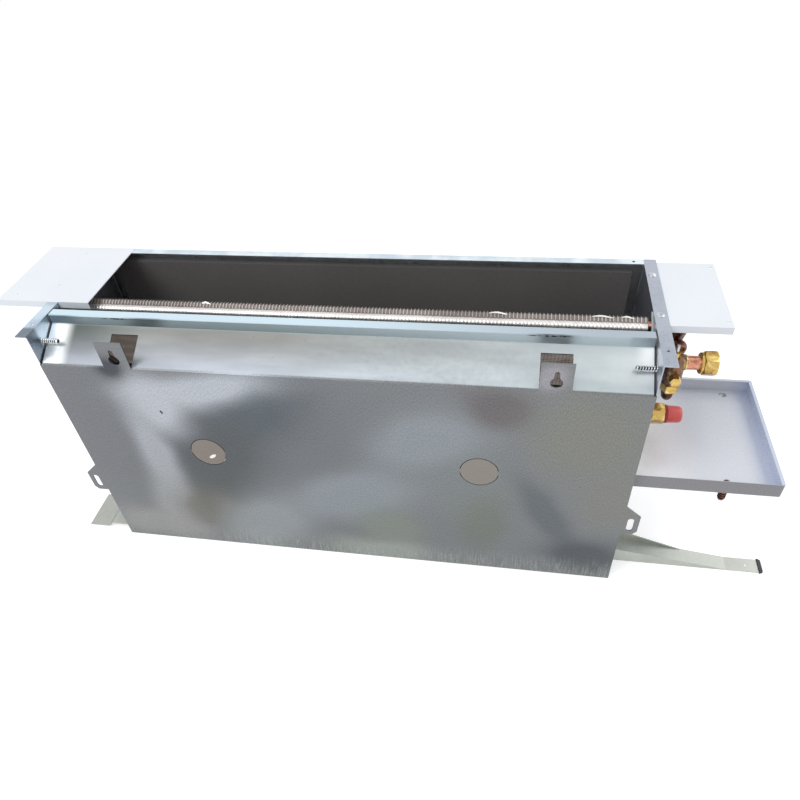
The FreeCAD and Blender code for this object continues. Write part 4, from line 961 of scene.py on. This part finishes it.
def thread_screws():
    """Coarse threaded shanks through the end plates, with pan heads outside."""
    low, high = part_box("thread_screws")
    screws = Stock()
    for end, inward in ((low.x + SCREW_HEAD, 1), (high.x - SCREW_HEAD, -1)):
        base = midway(low, high, end)
        axis = Vector((inward, 0, 0))
        helix(screws, base, axis, SCREW_LENGTH - 2 * MM, SCREW_RADIUS * SCREW_ROOT,
              SCREW_RADIUS * SCREW_CREST, SCREW_PITCH)
        tip = [(along * MM, SCREW_RADIUS * share)
               for along, share in ((0, 0), (0, 0.95), (1.4, 0.88), (2.2, 0.4), (2.2, 0))]
        turned(screws, base + axis * (SCREW_LENGTH - 2.2 * MM), axis, tip, steps=24)
        cross_head(screws, base, -axis, (high.z - low.z) / 2, SCREW_HEAD)
    piece("ribbed_thread_screws", screws, "zinc_thread",
          stands_for=("thread_screws",))


def screw_heads():
    """Pan heads of the screw pairs, with threaded shanks where a node is longer than its head."""
    for name, node, axis, apart, height in SCREW_PAIRS:
        low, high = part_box(node)
        other = 3 - axis - apart
        radius = (high[other] - low[other]) / 2
        outward = Vector([1 if index == axis else 0 for index in range(3)])
        heads = Stock()
        for place in (low[apart] + radius, high[apart] - radius):
            base = Vector((0, 0, 0))
            base[axis] = high[axis] - height
            base[other] = (low[other] + high[other]) / 2
            base[apart] = place
            cross_head(heads, base, outward, radius, height)
            shank = base[axis] - low[axis]
            if shank > 1 * MM:
                helix(heads, base, -outward, shank, SHANK_ROOT, SHANK_CREST, SHANK_PITCH,
                      steps=24)
        piece(name, heads, "zinc_screw", stands_for=(node,))


# Fittings

NUT_FLATS = 26 * MM
NUT_LENGTH = 18 * MM
NUT_TURN = math.radians(15)
NUT_COLLAR = 0.95 * NUT_FLATS / 2
NUT_STEPS = 72
COLLAR_LENGTH = 3.4 * MM
BORE_RADIUS = 11.7 * MM
BORE_DEPTH = 6.4 * MM
THREAD_PITCH = 1.8 * MM
THREAD_DEPTH = 0.5 * MM
SEAT_RADIUS = 11.4 * MM
NECK_RADIUS = 8.5 * MM
NECK_DEPTH = 2.6 * MM
BEVEL_STEPS = 5
BEVEL_SLOPE = 0.58

# Push-on cap, as (distance from its mouth, radius) in millimetres, out and back inside.
CAP_PROFILE = ((0, 10.3), (0, 11.4), (0.5, 12.0), (3.4, 12.0), (3.9, 11.4), (17, 10.8),
               (19.4, 10.3), (21.2, 9.1), (22, 7.2), (22, 0.01), (20.4, 0.01), (20.4, 7.0),
               (17.6, 10.3))

LOWER_THREAD_LENGTH = 14 * MM
LOWER_THREAD_ROOT = 9.8 * MM
LOWER_THREAD_CREST = 10.22 * MM

PIPE_RADIUS = 8.0 * MM
SOCKET_RADIUS = PIPE_RADIUS + 1.2 * MM
SOCKET_REACH = 9 * MM
SOCKET_PROFILE = ((0, SOCKET_RADIUS - 1 * MM), (1 * MM, SOCKET_RADIUS),
                  (SOCKET_REACH - 0.5 * MM, SOCKET_RADIUS),
                  (SOCKET_REACH, SOCKET_RADIUS - 0.4 * MM), (SOCKET_REACH, PIPE_RADIUS))
BEAD_PROFILE = ((-0.3 * MM, PIPE_RADIUS - 0.6 * MM), (-0.2 * MM, SOCKET_RADIUS - 0.4 * MM),
                (0.8 * MM, SOCKET_RADIUS - 0.2 * MM), (1.6 * MM, PIPE_RADIUS + 0.6 * MM),
                (2.2 * MM, PIPE_RADIUS - 0.4 * MM))
BEAD_WAVES = 12


def hexagon(angle, along, limit):
    """Radius on the nut's hexagon, its flats turned from the first direction, up to a limit."""
    within = (angle - NUT_TURN + math.pi / 6) % (math.pi / 3) - math.pi / 6
    return min(limit, NUT_FLATS / 2 / math.cos(within))


def bevelled(low, high):
    """Rows whose limit cuts the corners of the nut's hexagon back at both ends."""
    face, corner = NUT_FLATS / 2 * 0.985, NUT_FLATS / math.sqrt(3) * 1.01
    rows = [((corner - face) * BEVEL_SLOPE * n / BEVEL_STEPS,
             face + (corner - face) * n / BEVEL_STEPS) for n in range(BEVEL_STEPS + 1)]
    return [(low + a, r) for a, r in rows] + [(high - a, r) for a, r in reversed(rows)]


def bore_thread(angle, along, limit):
    """Radius inside the nut's threaded mouth."""
    phase = (along / THREAD_PITCH + angle / TURN) % 1
    return limit - THREAD_DEPTH * abs(2 * phase - 1)


def union_nut():
    """Swivel nut: round collar, bevelled hexagon, stepped seat and a threaded mouth."""
    low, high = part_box("upper_union_nut")
    outside = [(0, NUT_COLLAR - 0.7 * MM), (0.6 * MM, NUT_COLLAR),
               (COLLAR_LENGTH - 0.5 * MM, NUT_COLLAR), (COLLAR_LENGTH, NUT_COLLAR - 0.4 * MM)]
    outside += bevelled(COLLAR_LENGTH, NUT_LENGTH)
    outside += [(NUT_LENGTH, BORE_RADIUS + 0.8 * MM), (NUT_LENGTH - 0.9 * MM, BORE_RADIUS)]
    mouth = NUT_LENGTH - 1.2 * MM
    turns = int((mouth - BORE_DEPTH) / THREAD_PITCH * THREAD_STEPS)
    bore = [(mouth - (mouth - BORE_DEPTH) * n / turns, BORE_RADIUS) for n in range(turns + 1)]
    seat = [(BORE_DEPTH, SEAT_RADIUS), (NECK_DEPTH, SEAT_RADIUS), (NECK_DEPTH, NECK_RADIUS),
            (0, NECK_RADIUS)]
    rings = []
    for rows, radius_at in ((outside, hexagon), (bore, bore_thread), (seat, hexagon)):
        rings += rings_about(midway(low, high, low.x), (1, 0, 0), rows, radius_at, NUT_STEPS)
    nut = Stock()
    closed_skin(nut, rings)
    piece("union_nut_hexagon", nut, "brass", "union_nut", ("upper_union_nut",))


def protective_cap():
    """Smooth push-on cap: dark rim at its mouth, slight taper and a rounded end."""
    low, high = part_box("protective_cap")
    rows = [(along * MM, radius * MM) for along, radius in CAP_PROFILE]
    cap = Stock()
    closed_skin(cap, rings_about(midway(low, high, low.x), (1, 0, 0), rows, steps=64))
    piece("red_push_cap", cap, "red_plastic", "cap", ("protective_cap",))


def lower_thread():
    """Male pipe thread that the red cap covers."""
    low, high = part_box("lower_union")
    outer = Stock()
    helix(outer, midway(low, high, high.x - 0.4 * MM), (-1, 0, 0), LOWER_THREAD_LENGTH,
          LOWER_THREAD_ROOT, LOWER_THREAD_CREST, THREAD_PITCH, steps=56)
    piece("lower_outer_thread", outer, "brass")


def valve_socket():
    """Socket of the valve's tee round the upper pipe, with its uneven brazing bead."""
    low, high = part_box("valve_body")
    base = midway(*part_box("upper_union_nut"), (low.x + high.x) / 2)
    socket = Stock()
    turned(socket, base, (1, 0, 0), SOCKET_PROFILE)
    piece("valve_socket", socket, "stained_brass")
    wobble = [random.uniform(-0.2, 0.3) * MM for _ in range(BEAD_WAVES)]

    def uneven(angle, along, radius):
        share = angle / TURN * BEAD_WAVES
        here, after = wobble[int(share) % BEAD_WAVES], wobble[(int(share) + 1) % BEAD_WAVES]
        return radius + here + (after - here) * (share % 1)

    bead = Stock()
    turned(bead, base + Vector((SOCKET_REACH, 0, 0)), (1, 0, 0), BEAD_PROFILE, uneven)
    piece("braze_bead", bead, "braze")


# Tray hole

TRAY_HOLE = (510.2 * MM, 195 * MM)
HOLE_RADIUS = 5 * MM
HOLE_OUTER = HOLE_RADIUS + 0.8 * MM
HOLE_DEPTH = 8 * MM
HOLE_PROFILE = ((0, HOLE_RADIUS), (0, HOLE_OUTER), (HOLE_DEPTH, HOLE_OUTER),
                (HOLE_DEPTH, HOLE_RADIUS))


def tray_hole_collar():
    """Collar drawn down round the tray's overflow hole."""
    base = Vector((*TRAY_HOLE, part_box("drip_tray")[0].z))
    collar = Stock()
    closed_skin(collar, rings_about(base, (0, 0, -1), HOLE_PROFILE, steps=40))
    piece("tray_hole_collar", collar, "galvanised")


# Back panel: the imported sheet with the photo's ears and wider keyholes

PANEL_EDGE = 371.2 * MM
PANEL_SHEET = 1.2 * MM
EAR_OUTLINE = ((0, 105), (15, 105), (20, 111), (20, 141), (0, 159))
EAR_SLOT_REACH = 9.3 * MM
EAR_SLOT_BASE = 116 * MM
EAR_SLOT_TOP = 132 * MM
EAR_SLOT_RADIUS = 4 * MM
KEYHOLE_ACROSS = 264 * MM
KEYHOLE_HEIGHT = 356 * MM
KEYHOLE_RADIUS = 5.5 * MM
KEYHOLE_WIDENED = 7 * MM
KEYHOLE_FOUND = 0.15 * MM
KEYHOLE_SKIN = 1.5 * MM
ARC_STEPS = 12


def ear(work, side):
    """Side ear with its upright slot, one sheet thick."""
    rim = [(side * (PANEL_EDGE + u * MM), v * MM) for u, v in EAR_OUTLINE]
    middle = side * (PANEL_EDGE + EAR_SLOT_REACH)
    slot = []
    for centre, start in ((EAR_SLOT_TOP, 0), (EAR_SLOT_BASE, math.pi)):
        for step in range(ARC_STEPS + 1):
            angle = start + math.pi * step / ARC_STEPS
            slot.append((middle + EAR_SLOT_RADIUS * math.cos(angle),
                         centre + EAR_SLOT_RADIUS * math.sin(angle)))
    edges = []
    for loop in (rim, slot):
        points = [work.verts.new((u, 0, v)) for u, v in loop]
        edges += [work.edges.new((points[i], points[(i + 1) % len(points)]))
                  for i in range(len(points))]
    filled = bmesh.ops.triangle_fill(work, use_beauty=True, use_dissolve=False, edges=edges)
    faces = [item for item in filled["geom"] if isinstance(item, bmesh.types.BMFace)]
    grown = bmesh.ops.extrude_face_region(work, geom=faces)
    points = [item for item in grown["geom"] if isinstance(item, bmesh.types.BMVert)]
    bmesh.ops.translate(work, verts=points, vec=(0, PANEL_SHEET, 0))


def widen_keyhole(work, side):
    """Push the lower arc of a tab's keyhole out to the radius in the photo."""
    centre = Vector((side * KEYHOLE_ACROSS, 0, KEYHOLE_HEIGHT))
    for point in work.verts:
        offset = point.co - centre
        offset.y = 0
        on_arc = abs(offset.length - KEYHOLE_RADIUS) < KEYHOLE_FOUND
        if on_arc and point.co.y < KEYHOLE_SKIN:
            grown = centre + offset * (KEYHOLE_WIDENED / KEYHOLE_RADIUS)
            point.co = Vector((grown.x, point.co.y, grown.z))


def back_panel():
    """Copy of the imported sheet, its ears cut off and made new, its keyholes widened."""
    mesh = NODES["back_panel"].data.copy()
    mesh.name = "folded_back_panel"
    work = bmesh.new()
    work.from_mesh(mesh)
    bmesh.ops.remove_doubles(work, verts=work.verts, dist=0.001 * MM)
    for side in (-1, 1):
        bmesh.ops.bisect_plane(work, geom=work.verts[:] + work.edges[:] + work.faces[:],
                               plane_co=(side * PANEL_EDGE, 0, 0), plane_no=(side, 0, 0),
                               clear_outer=True)
        bmesh.ops.holes_fill(work, edges=[edge for edge in work.edges if edge.is_boundary])
    for side in (-1, 1):
        widen_keyhole(work, side)
        ear(work, side)
    bmesh.ops.recalc_face_normals(work, faces=work.faces)
    work.to_mesh(mesh)
    work.free()
    mesh.materials.clear()
    mesh.materials.append(MATERIALS["panel"])
    made = linked("folded_back_panel", mesh)
    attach(made, "chassis")
    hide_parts("back_panel")


# Arm end

TIP_CAP_LENGTH = 5.2 * MM
TIP_CAP_TAPER = 2.2 * MM
TIP_CAP_EDGE = 0.8 * MM
TIP_CAP_ROUNDING = ((0, 0.25), (0.04, 0), (0.8, 0), (0.94, 0.5), (1.0, 1.3))


def arm_tip_cap():
    """Small tapered cap with rounded edges over the tip of the long arm."""
    low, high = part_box("arm_end_cap")
    rings = []
    for share, inset in TIP_CAP_ROUNDING:
        x = high.x - TIP_CAP_LENGTH * (1 - share)
        narrowed = TIP_CAP_TAPER * share + inset * MM
        near, far = low.y + narrowed, high.y - narrowed
        top = high.z - 0.8 * inset * MM
        corner = top - TIP_CAP_EDGE
        rings.append([Vector((x, y, z)) for y, z in (
            (near, low.z), (near, corner), (near + TIP_CAP_EDGE, top),
            (far - TIP_CAP_EDGE, top), (far, corner), (far, low.z))])
    cap = Stock()
    cap.skin(rings)
    piece("arm_tip_cap", cap, "black_plastic",
          stands_for=("arm_end_cap",))


# Floor and light

FLOOR_REACH = 6.0
FLOOR_GREY = (0.74, 0.74, 0.74, 1)
FLOOR_GLOW = 0.52
WHITE = (1, 1, 1, 1)
WORLD_LIGHT, WORLD_SEEN = 0.62, 1.0


def seen_directly(tree):
    """One for rays of sight, gloss and glass, nothing for the light that things gather."""
    path = add(tree, "LightPath")
    seen = maths(tree, "MAXIMUM", path.outputs["Is Camera Ray"], path.outputs["Is Glossy Ray"])
    return maths(tree, "MAXIMUM", seen, path.outputs["Is Transmission Ray"])


def make_stage():
    """Pale matt floor that fades into the white behind it."""
    floor_mesh = bpy.data.meshes.new("floor")
    corners = [(x * FLOOR_REACH, y * FLOOR_REACH, 0)
               for x, y in ((-1, -1), (1, -1), (1, 1), (-1, 1))]
    floor_mesh.from_pydata(corners, [], [(0, 1, 2, 3)])
    floor = linked("floor", floor_mesh)
    made, tree, main, _ = shader("floor_paper", 0.9, Base_Color=FLOOR_GREY,
                                 Specular_IOR_Level=0.0, Emission_Color=WHITE)
    join(tree, main.inputs["Emission Strength"],
         product(tree, seen_directly(tree), FLOOR_GLOW))
    floor_mesh.materials.append(made)


def make_light():
    """Soft studio light: a white surround and two round lamps."""
    world = bpy.data.worlds.new("world")
    SCENE.world = world
    world.use_nodes = True
    tree = world.node_tree
    back = tree.nodes["Background"]
    back.inputs["Color"].default_value = WHITE
    join(tree, back.inputs["Strength"],
         ramp(tree, seen_directly(tree), 0, 1, WORLD_LIGHT, WORLD_SEEN, smooth=False))
    lamp("key", (-1.2, -1.4, 2.4), (0, 0.1, 0.2), 1.8, 34)
    lamp("fill", (1.8, 0.6, 1.8), (0.1, 0.1, 0.2), 1.6, 12)
    SCENE.view_settings.view_transform = "Standard"


for make in (make_camera, make_light, make_stage, dress_frame, back_panel, coil_fins,
             thread_screws, screw_heads, union_nut, protective_cap, lower_thread, valve_socket,
             tray_hole_collar, arm_tip_cap):
    make()
